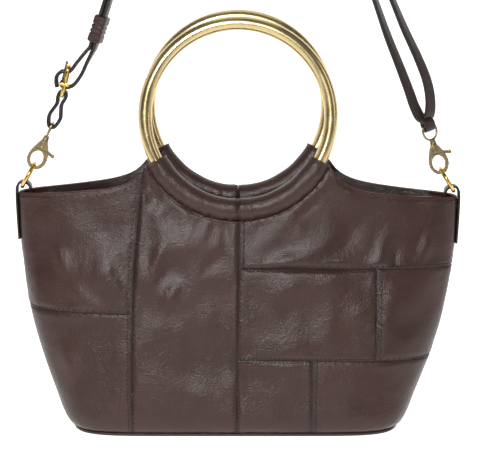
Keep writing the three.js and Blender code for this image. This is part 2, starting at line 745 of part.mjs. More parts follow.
/** The swivel eye: a headed shank in the clasp's barrel, and a loop with a straight bar for the strap. */
function swivelEye() {
  const half = EYE_WIDTH / 2;
  const loopFoot = NECK_TOP + 1.6;
  const shank = new THREE.LatheGeometry(
    [
      [0, 3.2], [1.9, 3.2], [1.9, 4.9], [1.25, 4.9], [1.25, NECK_TOP + TOUCH_GAP], [2.2, NECK_TOP + TOUCH_GAP],
      [2.2, loopFoot], [0, loopFoot],
    ].map(([r, z]) => new THREE.Vector2(r, z)),
    12,
  ).rotateX(Math.PI / 2);
  const route = [
    [0, loopFoot], [half * 0.72, loopFoot + 1.8], [half, loopFoot + 5.4], [half * 0.98, EYE_BAR_RISE - 1.2],
    [half * 0.8, EYE_BAR_RISE], [-half * 0.8, EYE_BAR_RISE], [-half * 0.98, EYE_BAR_RISE - 1.2],
    [-half, loopFoot + 5.4], [-half * 0.72, loopFoot + 1.8],
  ];
  const rows = route.map(([x, z]) => ({ point: new THREE.Vector3(x, 0, z), across: WAY_BACK }));
  const loop = bar(ringsAlong(stationsAlong(rows, 2, true), roundSection(EYE_WIRE, 6)), true);
  return geometryOf(solidOf(shank).add(solidOf(loop)));
}

// Strap

const claspFrames = Object.fromEntries(SIDES.map((side) => [side.name, claspFrame(side)]));
const layerStep = STRAP_LEATHER + STRAP_LAYER_GAP;
const innerArch = ARCH_RADIUS + STRAP_LEATHER / 2;

const buckleUp = new THREE.Vector3(Math.sin(BUCKLE_LEAN), 0, Math.cos(BUCKLE_LEAN));
const buckleRight = new THREE.Vector3(Math.cos(BUCKLE_LEAN), 0, -Math.sin(BUCKLE_LEAN));
const buckleMiddle = claspFrames.left.bar
  .clone()
  .addScaledVector(buckleRight, BUCKLE_PLACE.right * BUCKLE_LENGTH)
  .addScaledVector(buckleUp, BUCKLE_PLACE.up * BUCKLE_LENGTH);

/** A place in the buckle's frame. */
const atBuckle = (right, up) =>
  buckleMiddle.clone().addScaledVector(buckleRight, right).addScaledVector(buckleUp, up);
const keeperMiddle = atBuckle(KEEPER_PLACE.right * BUCKLE_LENGTH, KEEPER_PLACE.up * BUCKLE_LENGTH);

/** The point at which a straight run from a place meets the arch, on one side. */
function archTangent(from, side, radius) {
  const centre = new THREE.Vector3(0, 0, ARCH_HEIGHT);
  const span = from.clone().sub(centre);
  const distance = Math.hypot(span.x, span.z);
  const angle = Math.atan2(span.z, span.x) + (side < 0 ? -1 : 1) * Math.acos(radius / distance);
  return { angle, point: new THREE.Vector3(radius * Math.cos(angle), 0, ARCH_HEIGHT + radius * Math.sin(angle)) };
}

const keeperRun = archTangent(keeperMiddle, -1, innerArch).point.sub(keeperMiddle).normalize();
const keeperAcross = acrossAt(KEEPER_TURN);
keeperAcross.addScaledVector(keeperRun, -keeperAcross.dot(keeperRun)).normalize();
const keeperStack = new THREE.Vector3().crossVectors(keeperRun, keeperAcross);

/** Rows of the strap's route over the arch, from the left tangent to the right one. */
function archRows(radius, leftAngle, rightAngle, steps) {
  return Array.from({ length: steps + 1 }, (_, i) => {
    const angle = mix(leftAngle, rightAngle, i / steps);
    return {
      point: new THREE.Vector3(radius * Math.cos(angle), 0, ARCH_HEIGHT + radius * Math.sin(angle)),
      across: WAY_BACK,
    };
  });
}

/** The wrap of the strap's fixed end round the buckle's bar, from its tip to where it leaves the bar. */
function fixedWrap() {
  const hold = BUCKLE_BAR / 2 + TOUCH_GAP + STRAP_LEATHER / 2;
  return [60, 110, 180, 240, 290].map((degrees) => {
    const angle = THREE.MathUtils.degToRad(degrees);
    return atBuckle(hold * Math.cos(angle), hold * Math.sin(angle) - BUCKLE_BAR_DROP);
  });
}

/** One run from the keeper to the right clasp's bar or back, over the arch. */
function strand(layer, bowColumn) {
  const radius = innerArch + layer * layerStep;
  const start = keeperMiddle.clone().addScaledVector(keeperStack, (layer - 0.5) * layerStep);
  const keeperRows = [-0.7, -0.5, 0.5, 0.7].map((share) => ({
    point: start.clone().addScaledVector(keeperRun, share * KEEPER_LENGTH),
    across: keeperAcross,
  }));
  const leave = keeperRows[3].point;
  const left = archTangent(leave, -1, radius);
  const right = archTangent(claspFrames.right.bar, 1, radius);
  const rightAngle = right.angle;
  const leftAngle = left.angle < 0 ? left.angle + 2 * Math.PI : left.angle;
  const foot = claspFrames.right.bar;
  const run = right.point.clone().sub(foot);
  const length = run.length();
  const aside = new THREE.Vector3(run.z, 0, -run.x).normalize();
  const strandRows = RIGHT_STRANDS.map((row) => ({
    point: foot
      .clone()
      .addScaledVector(run, row.along)
      .addScaledVector(aside, row[bowColumn] * length),
    across: acrossAt(row.turn),
  })).reverse();
  const upper = {
    point: leave.clone().lerp(left.point, 0.5),
    across: acrossAt(KEEPER_TURN / 2),
  };
  return [
    ...keeperRows,
    upper,
    ...archRows(radius, leftAngle, rightAngle, 7),
    ...strandRows,
  ];
}

/** The turn of the strap under the right clasp's bar. */
function claspTurn() {
  const { bar: middle, up } = claspFrames.right;
  const hold = EYE_WIRE / 2 + TOUCH_GAP + STRAP_LEATHER / 2;
  const turn = THREE.MathUtils.degToRad(SIDES[1].turn);
  const right = new THREE.Vector3(up.z, 0, -up.x);
  const across = right.multiplyScalar(Math.cos(turn)).addScaledVector(WAY_BACK, Math.sin(turn));
  const front = new THREE.Vector3().crossVectors(across, up);
  return [
    [1, 1.4], [0.97, 0], [0.7, -0.7], [0, -1], [-0.7, -0.7], [-0.97, 0], [-1, 1.4],
  ].map(([aside, rise]) => ({
    point: middle.clone().addScaledVector(front, aside * hold).addScaledVector(up, rise * hold),
    across,
  }));
}

/** The whole strap, from the end that is fixed on the buckle's bar to the free end through the buckle. */
function strap() {
  const plain = (point) => ({ point, across: acrossAt(0) });
  const place = ({ right, up }) => plain(atBuckle(right * BUCKLE_LENGTH, up * BUCKLE_LENGTH));
  const rows = [
    ...fixedWrap().map(plain),
    ...FIXED_END.map(place).reverse(),
    ...strand(0, "inner"),
    ...claspTurn(),
    ...strand(1, "outer").reverse(),
    ...FREE_END.map(place),
  ];
  const body = bar(ringsAlong(stationsAlong(rows, 2), strapSection(STRAP_WIDTH, STRAP_LEATHER)));
  const slot = bar(ringsAlong(prongStations(), roundSection(PRONG_WIRE + 2 * TOUCH_GAP + 0.2, 6)));
  return geometryOf(solidOf(body).subtract(solidOf(slot)));
}

/** The keeper: a band round both layers of the strap. */
function keeper() {
  const hollowWidth = STRAP_WIDTH + 2 * TOUCH_GAP;
  const hollowDepth = 2 * STRAP_LEATHER + STRAP_LAYER_GAP + 2 * TOUCH_GAP;
  const ends = [-0.5, 0.5].map((share) => ({
    point: keeperMiddle.clone().addScaledVector(keeperRun, share * KEEPER_LENGTH),
    along: keeperRun,
    across: keeperAcross,
  }));
  const outer = bar(
    ringsAlong(ends, strapSection(hollowWidth + 2 * KEEPER_LEATHER, hollowDepth + 2 * KEEPER_LEATHER)),
  );
  const cutEnds = ends.map((end, i) => ({
    ...end,
    point: end.point.clone().addScaledVector(keeperRun, i === 0 ? -1 : 1),
  }));
  const hollow = bar(ringsAlong(cutEnds, strapSection(hollowWidth, hollowDepth)));
  return geometryOf(solidOf(outer).subtract(solidOf(hollow)));
}

/** The buckle: an oval frame across the strap with a bar, and a cross piece at the bar's front end. */
function buckleFrame() {
  const long = (BUCKLE_LENGTH - BUCKLE_WIRE) / 2;
  const wide = (BUCKLE_WIDTH - BUCKLE_WIRE) / 2;
  const route = [
    [wide, 0], [wide, 0.75 * long], [0.78 * wide, long], [0, long], [-0.78 * wide, long],
    [-wide, 0.75 * long], [-wide, 0], [-wide, -0.75 * long], [-0.78 * wide, -long], [0, -long],
    [0.78 * wide, -long], [wide, -0.75 * long],
  ];
  const rows = route.map(([y, z]) => ({ point: new THREE.Vector3(0, y, z), across: new THREE.Vector3(1, 0, 0) }));
  const frame = bar(ringsAlong(stationsAlong(rows, 2, true), roundSection(BUCKLE_WIRE, 6)), true);
  const crossBar = rod(BUCKLE_BAR / 2, BUCKLE_WIDTH - 1, 10, 0, -BUCKLE_BAR_DROP);
  const cross = block(BUCKLE_CROSS, 1.6, 2.2, 0, -BUCKLE_WIDTH / 2 + 0.4, -BUCKLE_BAR_DROP);
  return geometryOf(solidOf(frame).add(solidOf(crossBar)).add(solidOf(cross)));
}

/** The route of the prong: hooked round the buckle's bar and up past the end of the frame. */
function prongStations() {
  const hold = BUCKLE_BAR / 2 + TOUCH_GAP + PRONG_WIRE / 2;
  const beside = BUCKLE_WIRE / 2 + TOUCH_GAP + PRONG_WIRE / 2;
  const end = (BUCKLE_LENGTH - BUCKLE_WIRE) / 2;
  const hook = [330, 285, 235, 190].map((degrees) => {
    const angle = THREE.MathUtils.degToRad(degrees);
    return [hold * Math.cos(angle), hold * Math.sin(angle) - BUCKLE_BAR_DROP];
  });
  const route = [...hook, [-beside, end * 0.45], [-beside, end], [-beside * 0.95, end + 2.6]];
  return stationsAlong(
    route.map(([right, up]) => ({ point: atBuckle(right, up), across: WAY_BACK })),
    2,
  );
}

/** The prong with its rounded tip. */
function prong() {
  const stations = prongStations();
  const body = bar(ringsAlong(stations, roundSection(PRONG_WIRE, 6)));
  const tip = stations[stations.length - 1].point;
  const ball = new THREE.SphereGeometry(PRONG_TIP / 2, 10, 8).translate(tip.x, tip.y, tip.z);
  return geometryOf(solidOf(body).add(solidOf(ball)));
}

/** The short closed loop from the buckle's lower end to the left clasp's bar. */
function shortLoop() {
  const upper = atBuckle(0, -(BUCKLE_LENGTH - BUCKLE_WIRE) / 2);
  const lower = claspFrames.left.bar;
  const run = lower.clone().sub(upper);
  const aside = new THREE.Vector3(-run.z, 0, run.x).normalize();
  const down = run.clone().normalize();
  const upperHold = BUCKLE_WIRE / 2 + TOUCH_GAP + STRAP_LEATHER / 2;
  const lowerHold = EYE_WIRE / 2 + TOUCH_GAP + STRAP_LEATHER / 2;
  const strandRow = (sign) => ({ along, spread }) =>
    upper.clone().addScaledVector(run, along).addScaledVector(aside, sign * spread * STRAP_LEATHER);
  const points = [
    upper.clone().addScaledVector(down, -upperHold),
    upper.clone().addScaledVector(aside, upperHold * 0.75).addScaledVector(down, -upperHold * 0.7),
    ...SHORT_LOOP.map(strandRow(1)),
    lower.clone().addScaledVector(aside, lowerHold * 0.8).addScaledVector(down, lowerHold * 0.65),
    lower.clone().addScaledVector(down, lowerHold),
    lower.clone().addScaledVector(aside, -lowerHold * 0.8).addScaledVector(down, lowerHold * 0.65),
    ...SHORT_LOOP.map(strandRow(-1)).reverse(),
    upper.clone().addScaledVector(aside, -upperHold * 0.75).addScaledVector(down, -upperHold * 0.7),
  ];
  const rows = points.map((point) => ({ point, across: WAY_BACK }));
  return bar(ringsAlong(stationsAlong(rows, 2, true), strapSection(STRAP_WIDTH, STRAP_LEATHER)), true);
}

// The scene graph

const bag = new THREE.Group();
bag.position.z = -(ARCH_HEIGHT + ARCH_RADIUS);

/** Adds a named mesh to a group and returns it, for placing. */
function add(group, name, geometry, material) {
  const mesh = new THREE.Mesh(geometry, material.clone());
  mesh.name = name;
  group.add(mesh);
  return mesh;
}

for (const { name, stops, bottom, top, rows } of PATCHES) {
  add(bag, name, panel(FRONT, stops, bottom, top, rows), leather);
}
add(bag, "back_panel", panel(BACK, wholeWidth(7), panelFoot, rimHeight, 7), leather);
add(bag, "base_panel", basePanel(), darkLeather);

for (const [face, where] of [[FRONT, "front"], [BACK, "rear"]]) {
  add(bag, `rim_facing_${where}`, facing(face), darkLeather);
  const handle = new THREE.Group();
  handle.position.copy(ringCentre(face));
  handle.rotation.x = Math.PI / 2 - RING_LEAN;
  bag.add(handle);
  add(handle, `ring_${where}`, new THREE.TorusGeometry(ringRadius, RING_TUBE / 2, RING_SIDES, RING_STEPS), ringGold);
  add(handle, `sleeve_${where}_left`, sleeveHalf(-1), leather);
  add(handle, `sleeve_${where}_right`, sleeveHalf(1), leather);
}

for (const place of SIDES) {
  const { name, side, turn } = place;
  const frame = claspFrames[name];
  add(bag, `tab_${name}`, tab(side), darkLeather);
  const ring = add(
    bag,
    `o_ring_${name}`,
    new THREE.TorusGeometry(oRingRadius, O_RING_WIRE / 2, 7, 18).rotateY(Math.PI / 2),
    brightGold,
  );
  ring.position.copy(frame.ringMiddle);
  ring.rotation.y = -side * frame.ringTilt;
  const clasp = new THREE.Group();
  clasp.position.copy(frame.pin);
  clasp.rotation.y = frame.turnY;
  bag.add(clasp);
  add(clasp, `clasp_${name}`, claw(), antiqueBrass);
  add(clasp, `clasp_gate_${name}`, gateLever(), antiqueBrass);
  add(clasp, `clasp_eye_${name}`, swivelEye(), antiqueBrass).rotation.z = THREE.MathUtils.degToRad(turn);
}

add(bag, "strap", strap(), darkLeather);
add(bag, "strap_keeper", keeper(), leather);
add(bag, "strap_short_loop", shortLoop(), darkLeather);
add(bag, "buckle_prong", prong(), antiqueBrass);
const buckle = add(bag, "buckle_frame", buckleFrame(), brightGold);
buckle.position.copy(buckleMiddle);
buckle.rotation.y = BUCKLE_LEAN;

export default bag;
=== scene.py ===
"""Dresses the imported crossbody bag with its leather, seams, stitches, metal and light."""

import functools
import math

import bmesh
import bpy
from bpy.props import FloatProperty, FloatVectorProperty, PointerProperty
from mathutils import Euler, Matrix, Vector, noise


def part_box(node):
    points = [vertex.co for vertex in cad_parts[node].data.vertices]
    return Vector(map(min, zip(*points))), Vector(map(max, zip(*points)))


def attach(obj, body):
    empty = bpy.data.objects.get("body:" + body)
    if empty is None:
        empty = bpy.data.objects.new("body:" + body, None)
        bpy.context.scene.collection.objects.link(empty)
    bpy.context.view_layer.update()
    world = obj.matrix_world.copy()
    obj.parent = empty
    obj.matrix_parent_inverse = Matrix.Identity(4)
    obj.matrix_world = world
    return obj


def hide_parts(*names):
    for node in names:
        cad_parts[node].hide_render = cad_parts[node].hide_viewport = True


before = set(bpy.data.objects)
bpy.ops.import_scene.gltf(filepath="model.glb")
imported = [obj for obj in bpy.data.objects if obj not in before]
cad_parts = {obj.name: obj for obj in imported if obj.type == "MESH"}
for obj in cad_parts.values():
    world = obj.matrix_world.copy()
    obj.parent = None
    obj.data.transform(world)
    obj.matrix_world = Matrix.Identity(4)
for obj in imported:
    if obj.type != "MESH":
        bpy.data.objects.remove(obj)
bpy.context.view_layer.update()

bl_info = {
    "name": "Crossbody bag",
    "version": (1, 0, 0),
    "blender": (4, 5, 0),
    "location": "View3D > Sidebar > Bag",
    "description": "Patchwork leather bag with ring handles, a doubled strap and swivel clasps",
    "category": "Object",
}

MM = 0.001
HANG = 481.5
FRONT = -1
BACK = 1

# The body's form in millimetres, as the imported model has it, with z over the underside of the base
BAG_WIDTH = 336
BAG_HEIGHT = 179.5
END_RISE = {-1: 2, 1: -1.5}
BASE_DEPTH = 104
BASE_LEATHER = 2.4
SEAM_GAP = 0.3
SEWN_GAP = 0.04
TOUCH_GAP = 0.3
FACING_HEIGHT = 19
FACING_END = 19
FACING_WALL = 1.9
RING_DIAMETER = 150
RING_TUBE = 10.4
RING_LEAN = math.radians(8.6)
SLEEVE_CLEARANCE = 0.4
SLEEVE_LEATHER = 3
SLEEVE_END_ANGLE = math.radians(28)
CREASE_HEIGHT = 163.5

# Side tabs and O-rings
TAB_WIDTH = 10
TAB_LEATHER = 1.7
TAB_REACH = 37
TAB_INNER_REACH = 14
TAB_SLACK = 0.4
O_RING_DIAMETER = 23
O_RING_WIRE = 3
O_RING_RISE = 3.6
O_RING_INSET = 2.8
CLASP_HOLE_FOOT = 15.7
EYE_BAR_RISE = 20.2
EYE_WIRE = 1.9

# Strap, keeper and buckle
STRAP_WIDTH = 9
STRAP_LEATHER = 2.6
STRAP_LAYER_GAP = 0.4
ARCH_RADIUS = 60
ARCH_HEIGHT = 421.5
KEEPER_LENGTH = 20.4
KEEPER_LEATHER = 1.9
KEEPER_TURN = 14
BUCKLE_LENGTH = 24.8
BUCKLE_WIDTH = 15.4
BUCKLE_WIRE = 2.6
BUCKLE_LEAN = math.radians(14)
BUCKLE_BAR = 2.4
BUCKLE_BAR_DROP = 2
BUCKLE_CROSS = 7.4
PRONG_WIRE = 1.6
PRONG_TIP = 2.4


def table(columns, *rows):
    """A short table with named columns."""
    names = columns.split()
    return [dict(zip(names, row)) for row in rows]


SECTIONS = table(
    "height width front back square round drift",
    (0, 0.742, 0.91, 0.91, 8, 0.3, -2),
    (0.06, 0.79, 1, 1, 7.5, 0.3, -2),
    (0.15, 0.83, 0.97, 0.96, 6, 0.31, -1.8),
    (0.3, 0.891, 0.9, 0.88, 4.4, 0.33, -1.3),
    (0.5, 0.951, 0.8, 0.76, 3.2, 0.36, -0.6),
    (0.75, 0.99, 0.645, 0.61, 2.4, 0.4, -0.1),
    (0.95, 1, 0.515, 0.52, 2, 0.42, 0),
    (1.2, 1, 0.43, 0.6, 2, 0.42, 0),
)
RIM_FALL = table(
    "across fall",
    (0, 0), (0.05, 0.31), (0.14, 0.57), (0.29, 0.75), (0.57, 0.89), (0.86, 0.97), (1, 1),
)
SIDES = table("name side tilt lean turn", ("left", -1, 29, 25, 90), ("right", 1, 31.4, 17, 25))
LEFT_SEAM = table("height across", (0, -80.5), (0.35, -80.2), (0.65, -79), (0.85, -76.3), (1.1, -71.5))
RIGHT_STRANDS = table(
    "along inner outer turn",
    (0.035, -0.012, 0.016, 62), (0.075, -0.018, 0.035, 55), (0.14, -0.016, 0.048, 48),
    (0.22, -0.015, 0.048, 42), (0.33, -0.015, 0.04, 34), (0.46, -0.01, 0.035, 22),
    (0.7, -0.004, 0.018, 10),
)
FIXED_END = table("right up", (0.5, 0.68), (0.415, 0.29), (0.24, -0.08))
FREE_END = table(
    "right up",
    (0.41, 1.05), (0.2, 0.62), (0.05, 0.32), (-0.17, 0.265), (-0.29, 0.1), (-0.275, -0.09), (-0.215, -0.235),
)
KEEPER_PLACE = (0.62, 1.78)
BUCKLE_PLACE = (0.105, 1.385)
SHORT_LOOP = table("along spread", (0.06, 1.1), (0.3, 0.7), (0.55, 1.25), (0.72, 1.65), (0.88, 1.5))


def read(rows, key, column, at):
    """Reads a column of a table between its rows, with a smooth run through them."""
    last = len(rows) - 1
    row = 0
    while row < last - 1 and at > rows[row + 1][key]:
        row += 1

    def slope(i):
        a = rows[max(0, i - 1)]
        b = rows[min(last, i + 1)]
        return (b[column] - a[column]) / (b[key] - a[key])

    span = rows[row + 1][key] - rows[row][key]
    share = min(1, max(0, (at - rows[row][key]) / span))
    square = share * share
    cube = square * share
    return (
        (2 * cube - 3 * square + 1) * rows[row][column]
        + (cube - 2 * square + share) * span * slope(row)
        + (3 * square - 2 * cube) * rows[row + 1][column]
        + (cube - square) * span * slope(row + 1)
    )


def mix(a, b, share):
    return a + (b - a) * share


def bump_at(distance, width):
    """A soft bump of height one, with the given half width."""
    return math.exp(-((distance / width) ** 2))


def to_row(point):
    """A place over the bag's base, in millimetres, as a place in the row frame, in metres."""
    return Vector((point[0], point[1], point[2] - HANG)) * MM


# The skin of the body


@functools.lru_cache(maxsize=None)
def section_at(column, z):
    return read(SECTIONS, "height", column, z / BAG_HEIGHT)


def half_width_at(z):
    return section_at("width", z) * BAG_WIDTH / 2


def half_depth_at(face, z):
    return section_at("front" if face == FRONT else "back", z) * BASE_DEPTH / 2


def across_at_angle(angle, z):
    return section_at("drift", z) + half_width_at(z) * math.sin(angle)


def skin_point(face, angle, z):
    inside = max(0.0, 1 - abs(math.sin(angle)) ** section_at("square", z))
    depth = half_depth_at(face, z) * inside ** section_at("round", z)
    return Vector((across_at_angle(angle, z), face * (SEAM_GAP / 2 + depth), z))


def skin_normal(face, angle, z):
    step = 0.004
    limit = math.pi / 2
    a = skin_point(face, max(-limit, angle - step), z)
    b = skin_point(face, min(limit, angle + step), z)
    normal = (b - a).cross(skin_point(face, angle, z + 1) - skin_point(face, angle, z - 1))
    return normal.normalized() * -face


def angle_at(x, z):
    return math.asin(min(1, max(-1, (x - section_at("drift", z)) / half_width_at(z))))


ring_radius = (RING_DIAMETER - RING_TUBE) / 2
sleeve_radius = RING_TUBE / 2 + SLEEVE_CLEARANCE + SLEEVE_LEATHER
crease_radius = ring_radius + sleeve_radius + SEAM_GAP
sleeve_end_x = crease_radius * math.cos(SLEEVE_END_ANGLE)
sleeve_end_z = CREASE_HEIGHT + crease_radius * (1 - math.sin(SLEEVE_END_ANGLE)) * math.cos(RING_LEAN)


def ring_centre(face):
    height = CREASE_HEIGHT + (crease_radius - ring_radius) * math.cos(RING_LEAN)
    depth = face * (half_depth_at(face, height) + SEAM_GAP / 2)
    return Vector((0, depth + ring_radius * math.sin(RING_LEAN), height + ring_radius * math.cos(RING_LEAN)))


def end_height(side):
    return BAG_HEIGHT + END_RISE[-1 if side < 0 else 1]


def rim_height(x):
    reach = abs(x)
    if reach < sleeve_end_x:
        drop = math.sqrt(crease_radius**2 - reach**2)
        return CREASE_HEIGHT + (crease_radius - drop) * math.cos(RING_LEAN)
    share = (reach - sleeve_end_x) / (BAG_WIDTH / 2 - sleeve_end_x)
    return mix(sleeve_end_z, end_height(x), read(RIM_FALL, "across", "fall", min(1, share)))


# Curves through points


def run_through(rows, steps, closed=False):
    """Stations along a smooth curve through (point, across) rows: point, way along and way across."""
    points = [row[0] for row in rows]
    spans = len(rows) if closed else len(rows) - 1

    def knot(i):
        if closed:
            return points[i % len(points)]
        if i < 0:
            return points[0] * 2 - points[1]
        if i >= len(points):
            return points[-1] * 2 - points[-2]
        return points[i]

    def curve(place):
        i = min(int(place), spans - 1)
        share = place - i
        p = [knot(i - 1), knot(i), knot(i + 1), knot(i + 2)]
        gaps = [max(1e-6, (p[k + 1] - p[k]).length ** 0.5) for k in range(3)]
        start = (p[1] - p[0]) / gaps[0] - (p[2] - p[0]) / (gaps[0] + gaps[1]) + (p[2] - p[1]) / gaps[1]
        end = (p[2] - p[1]) / gaps[1] - (p[3] - p[1]) / (gaps[1] + gaps[2]) + (p[3] - p[2]) / gaps[2]
        start *= gaps[1]
        end *= gaps[1]
        cubic = p[1] * 2 - p[2] * 2 + start + end
        square = p[2] * 3 - p[1] * 3 - start * 2 - end
        return ((cubic * share + square) * share + start) * share + p[1]

    stations = []
    for i in range(spans * steps + (0 if closed else 1)):
        place = i / steps
        row = min(int(place), spans - 1)
        before = curve(place - 0.02 if closed or place > 0.02 else 0)
        after = curve(place + 0.02 if closed or place < spans - 0.02 else spans)
        if closed and place - 0.02 < 0:
            before = curve(spans + place - 0.02)
        across = rows[row][1].lerp(rows[(row + 1) % len(rows)][1], place - row)
        stations.append((curve(place), (after - before).normalized(), across))
    return stations


# Meshes

TURNED_EDGE_ANGLE = math.radians(55)
SOFTENING_ROUNDS = 2
HOLLOW_ROUNDS = 3
HOLLOW_GAIN = 4


def surface(name, columns, rows, place, around=False, closed=False, capped=True, marks=None):
    """A sheet of points place(i, j), which may close on itself around (in j) or along (in i)."""
    mesh = bmesh.new()
    bmesh.ops.create_grid(mesh, x_segments=columns, y_segments=rows, size=0.5)
    mesh.verts.ensure_lookup_table()
    layers = {mark: mesh.verts.layers.float.new(mark) for mark in marks or ()}
    chart = mesh.loops.layers.uv.new("UVMap")
    spots = {}
    for vert in mesh.verts:
        i = round((vert.co.x + 0.5) * columns)
        j = round((vert.co.y + 0.5) * rows)
        spots[vert] = (i, j)
    for face in mesh.faces:
        for loop in face.loops:
            i, j = spots[loop.vert]
            loop[chart].uv = (i / columns, j / rows)
    for vert, (i, j) in spots.items():
        vert.co = place(i % columns if closed else i, j % rows if around else j)
        for mark, layer in layers.items():
            vert[layer] = marks[mark](i, j)
    if around or closed:
        bmesh.ops.remove_doubles(mesh, verts=mesh.verts, dist=1e-7)
    if around and capped and not closed:
        ends = [edge for edge in mesh.edges if edge.is_boundary]
        bmesh.ops.holes_fill(mesh, edges=ends, sides=0)
    if around:
        bmesh.ops.recalc_face_normals(mesh, faces=mesh.faces)
    return finish_mesh(name, mesh)


def finish_mesh(name, mesh, smooth=True):
    """Puts a bmesh into a new object at the origin."""
    data = bpy.data.meshes.new(name)
    for face in mesh.faces:
        face.smooth = smooth
    mesh.to_mesh(data)
    mesh.free()
    piece = bpy.data.objects.new(name, data)
    bpy.context.collection.objects.link(piece)
    return piece


SLOT_FINISH = {
    "leather": "Brown leather",
    "dark_leather": "Dark leather",
    "ring_gold": "Pale gold",
    "bright_gold": "Bright gold",
    "antique_brass": "Antique brass",
}


def dress(piece, slot, *nodes, body="bag", finish=None):
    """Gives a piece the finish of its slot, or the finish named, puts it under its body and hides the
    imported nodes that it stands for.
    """
    piece.data.materials.clear()
    piece.data.materials.append(material_for(finish or SLOT_FINISH[slot]))
    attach(piece, body)
    if nodes:
        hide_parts(*nodes)


def thicken(piece, thickness, round_edge):
    """A wall that grows inwards to its thickness, with its cut edges rounded over."""
    wall = piece.modifiers.new("Wall", "SOLIDIFY")
    wall.thickness = thickness
    wall.offset = -1.0
    wall.use_even_offset = False
    edge = piece.modifiers.new("Turned edge", "BEVEL")
    edge.width = round_edge
    edge.segments = 2
    edge.limit_method = "ANGLE"
    edge.angle_limit = TURNED_EDGE_ANGLE
    return piece


def band(name, stations, width, thickness, closed=False, corner=0.32):
    """A flat strap along stations, with rounded edges that are marked as cut leather."""
    w = width / 2
    t = thickness / 2
    c = min(t, corner * thickness)
    section = [
        (w, t - c), (w - c * 0.35, t - c * 0.3), (w - c, t), (w * 0.4, t + 0.06), (0, t + 0.09),
        (-w * 0.4, t + 0.06), (-w + c, t), (-w + c * 0.35, t - c * 0.3), (-w, t - c),
    ]
    section += [(-a, -b) for a, b in section]
    rings = []
    for point, along, across in stations:
        wide = (across - along * across.dot(along)).normalized()
        thick = along.cross(wide)
        rings.append([point + wide * a + thick * b for a, b in section])
    count = len(section)

    def place(i, j):
        return to_row(rings[i][j])

    def cut(i, j):
        return 1.0 if abs(section[j % count][0]) > w - c * 0.5 else 0.0

    columns = len(rings) if closed else len(rings) - 1
    return surface(name, columns, count, place, around=True, closed=closed, marks={"cut_edge": cut})


def wire(name, stations, diameter, sides=16, closed=False):
    """A round wire along stations."""
    rings = []
    for point, along, across in stations:
        wide = (across - along * across.dot(along)).normalized()
        thick = along.cross(wide)
        turns = [2 * math.pi * k / sides for k in range(sides)]
        rings.append([point + (wide * math.cos(a) + thick * math.sin(a)) * diameter / 2 for a in turns])
    columns = len(rings) if closed else len(rings) - 1
    return surface(name, columns, sides, lambda i, j: to_row(rings[i][j]), around=True, closed=closed)


def join(pieces, name):
    """Joins pieces into one mesh under one name."""
    mesh = bmesh.new()
    for piece in pieces:
        mesh.from_mesh(piece.data)
        bpy.data.objects.remove(piece)
    return finish_mesh(name, mesh)


def cast_copy(node, name, grain):
    """A copy of a packed metal node with the softened edges of a casting, its hollows marked."""
    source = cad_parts[node]
    mesh = bmesh.new()
    mesh.from_mesh(source.data)
    bmesh.ops.remove_doubles(mesh, verts=mesh.verts, dist=1e-6)
    piece = finish_mesh(name, mesh)
    remesh = piece.modifiers.new("Casting", "REMESH")
    remesh.mode = "VOXEL"
    remesh.voxel_size = grain
    remesh.use_smooth_shade = True
    softened = piece.modifiers.new("Softened", "SMOOTH")
    softened.factor = 0.5
    softened.iterations = SOFTENING_ROUNDS
    graph = bpy.context.evaluated_depsgraph_get()
    baked = bmesh.new()
    baked.from_mesh(piece.evaluated_get(graph).to_mesh())
    piece.modifiers.clear()
    hollow = baked.verts.layers.float.new("hollow")
    near = {vert: [edge.other_vert(vert) for edge in vert.link_edges] for vert in baked.verts}
    values = {}
    for vert, others in near.items():
        turns = [vert.normal.dot((other.co - vert.co).normalized()) for other in others]
        values[vert] = sum(turns) / max(1, len(turns))
    for _ in range(HOLLOW_ROUNDS):
        values = {
            vert: (values[vert] + sum(values[other] for other in others)) / (1 + len(others))
            for vert, others in near.items()
        }
    for vert, value in values.items():
        vert[hollow] = min(1, max(0, 0.5 + value * HOLLOW_GAIN))
    for face in baked.faces:
        face.smooth = True
    baked.to_mesh(piece.data)
    baked.free()
    return piece


# Panels, with seams that draw the leather in

SIDE_STOP_EASE = 1.7
LEFT_SIDE = {"side": -1}
RIGHT_SIDE = {"side": 1}
CREASES = table(
    "x z run rise depth width",
    (104, 116, 8, 34, 1.5, 4.5), (116, 118, 3, 30, -1.1, 5), (-92, 104, -12, 34, 1.2, 4.5),
    (-108, 96, -22, 22, 1.1, 4.5), (-84, 112, -9, 26, -0.9, 4), (-66, 118, 10, 28, 1.2, 5),
    (-58, 96, 13, 22, 0.9, 4.5), (24, 130, 32, 10, 0.9, 5), (60, 132, 26, 18, -0.8, 5),
    (-128, 118, -10, 26, 0.9, 5), (139, 128, 8, 26, 1, 5), (-28, 124, 16, 16, -0.8, 5),
    (84, 86, 20, 16, 0.7, 5), (-46, 40, 30, -14, 0.7, 7), (120, 60, 14, 22, 0.8, 6),
    (-120, 40, -14, 26, 0.8, 6),
)


# Where the seams of the front run: some go up it and some across it


def up_seam(top, foot):
    return lambda z: mix(foot, top, z / BAG_HEIGHT)


def band_seam(height, fall):
    return lambda x: height - fall * (abs(x) / (BAG_WIDTH / 2)) ** 2


def left_seam(z):
    return read(LEFT_SEAM, "height", "across", z / BAG_HEIGHT)


middle_seam = up_seam(1, -1)
side_seam = up_seam(105, 105)
low_seam = up_seam(56, 56)
left_band = band_seam(94, 0)
upper_band = band_seam(128.2, 3)
lower_band = band_seam(59.5, 4)


def panel_foot(x):
    return BASE_LEATHER + SEAM_GAP


def over(seam):
    return lambda x: seam(x) + SEWN_GAP / 2


def under(seam):
    return lambda x: seam(x) - SEWN_GAP / 2


def stop(seam, gap):
    return {"x": lambda z: seam(z) + gap * SEWN_GAP / 2}


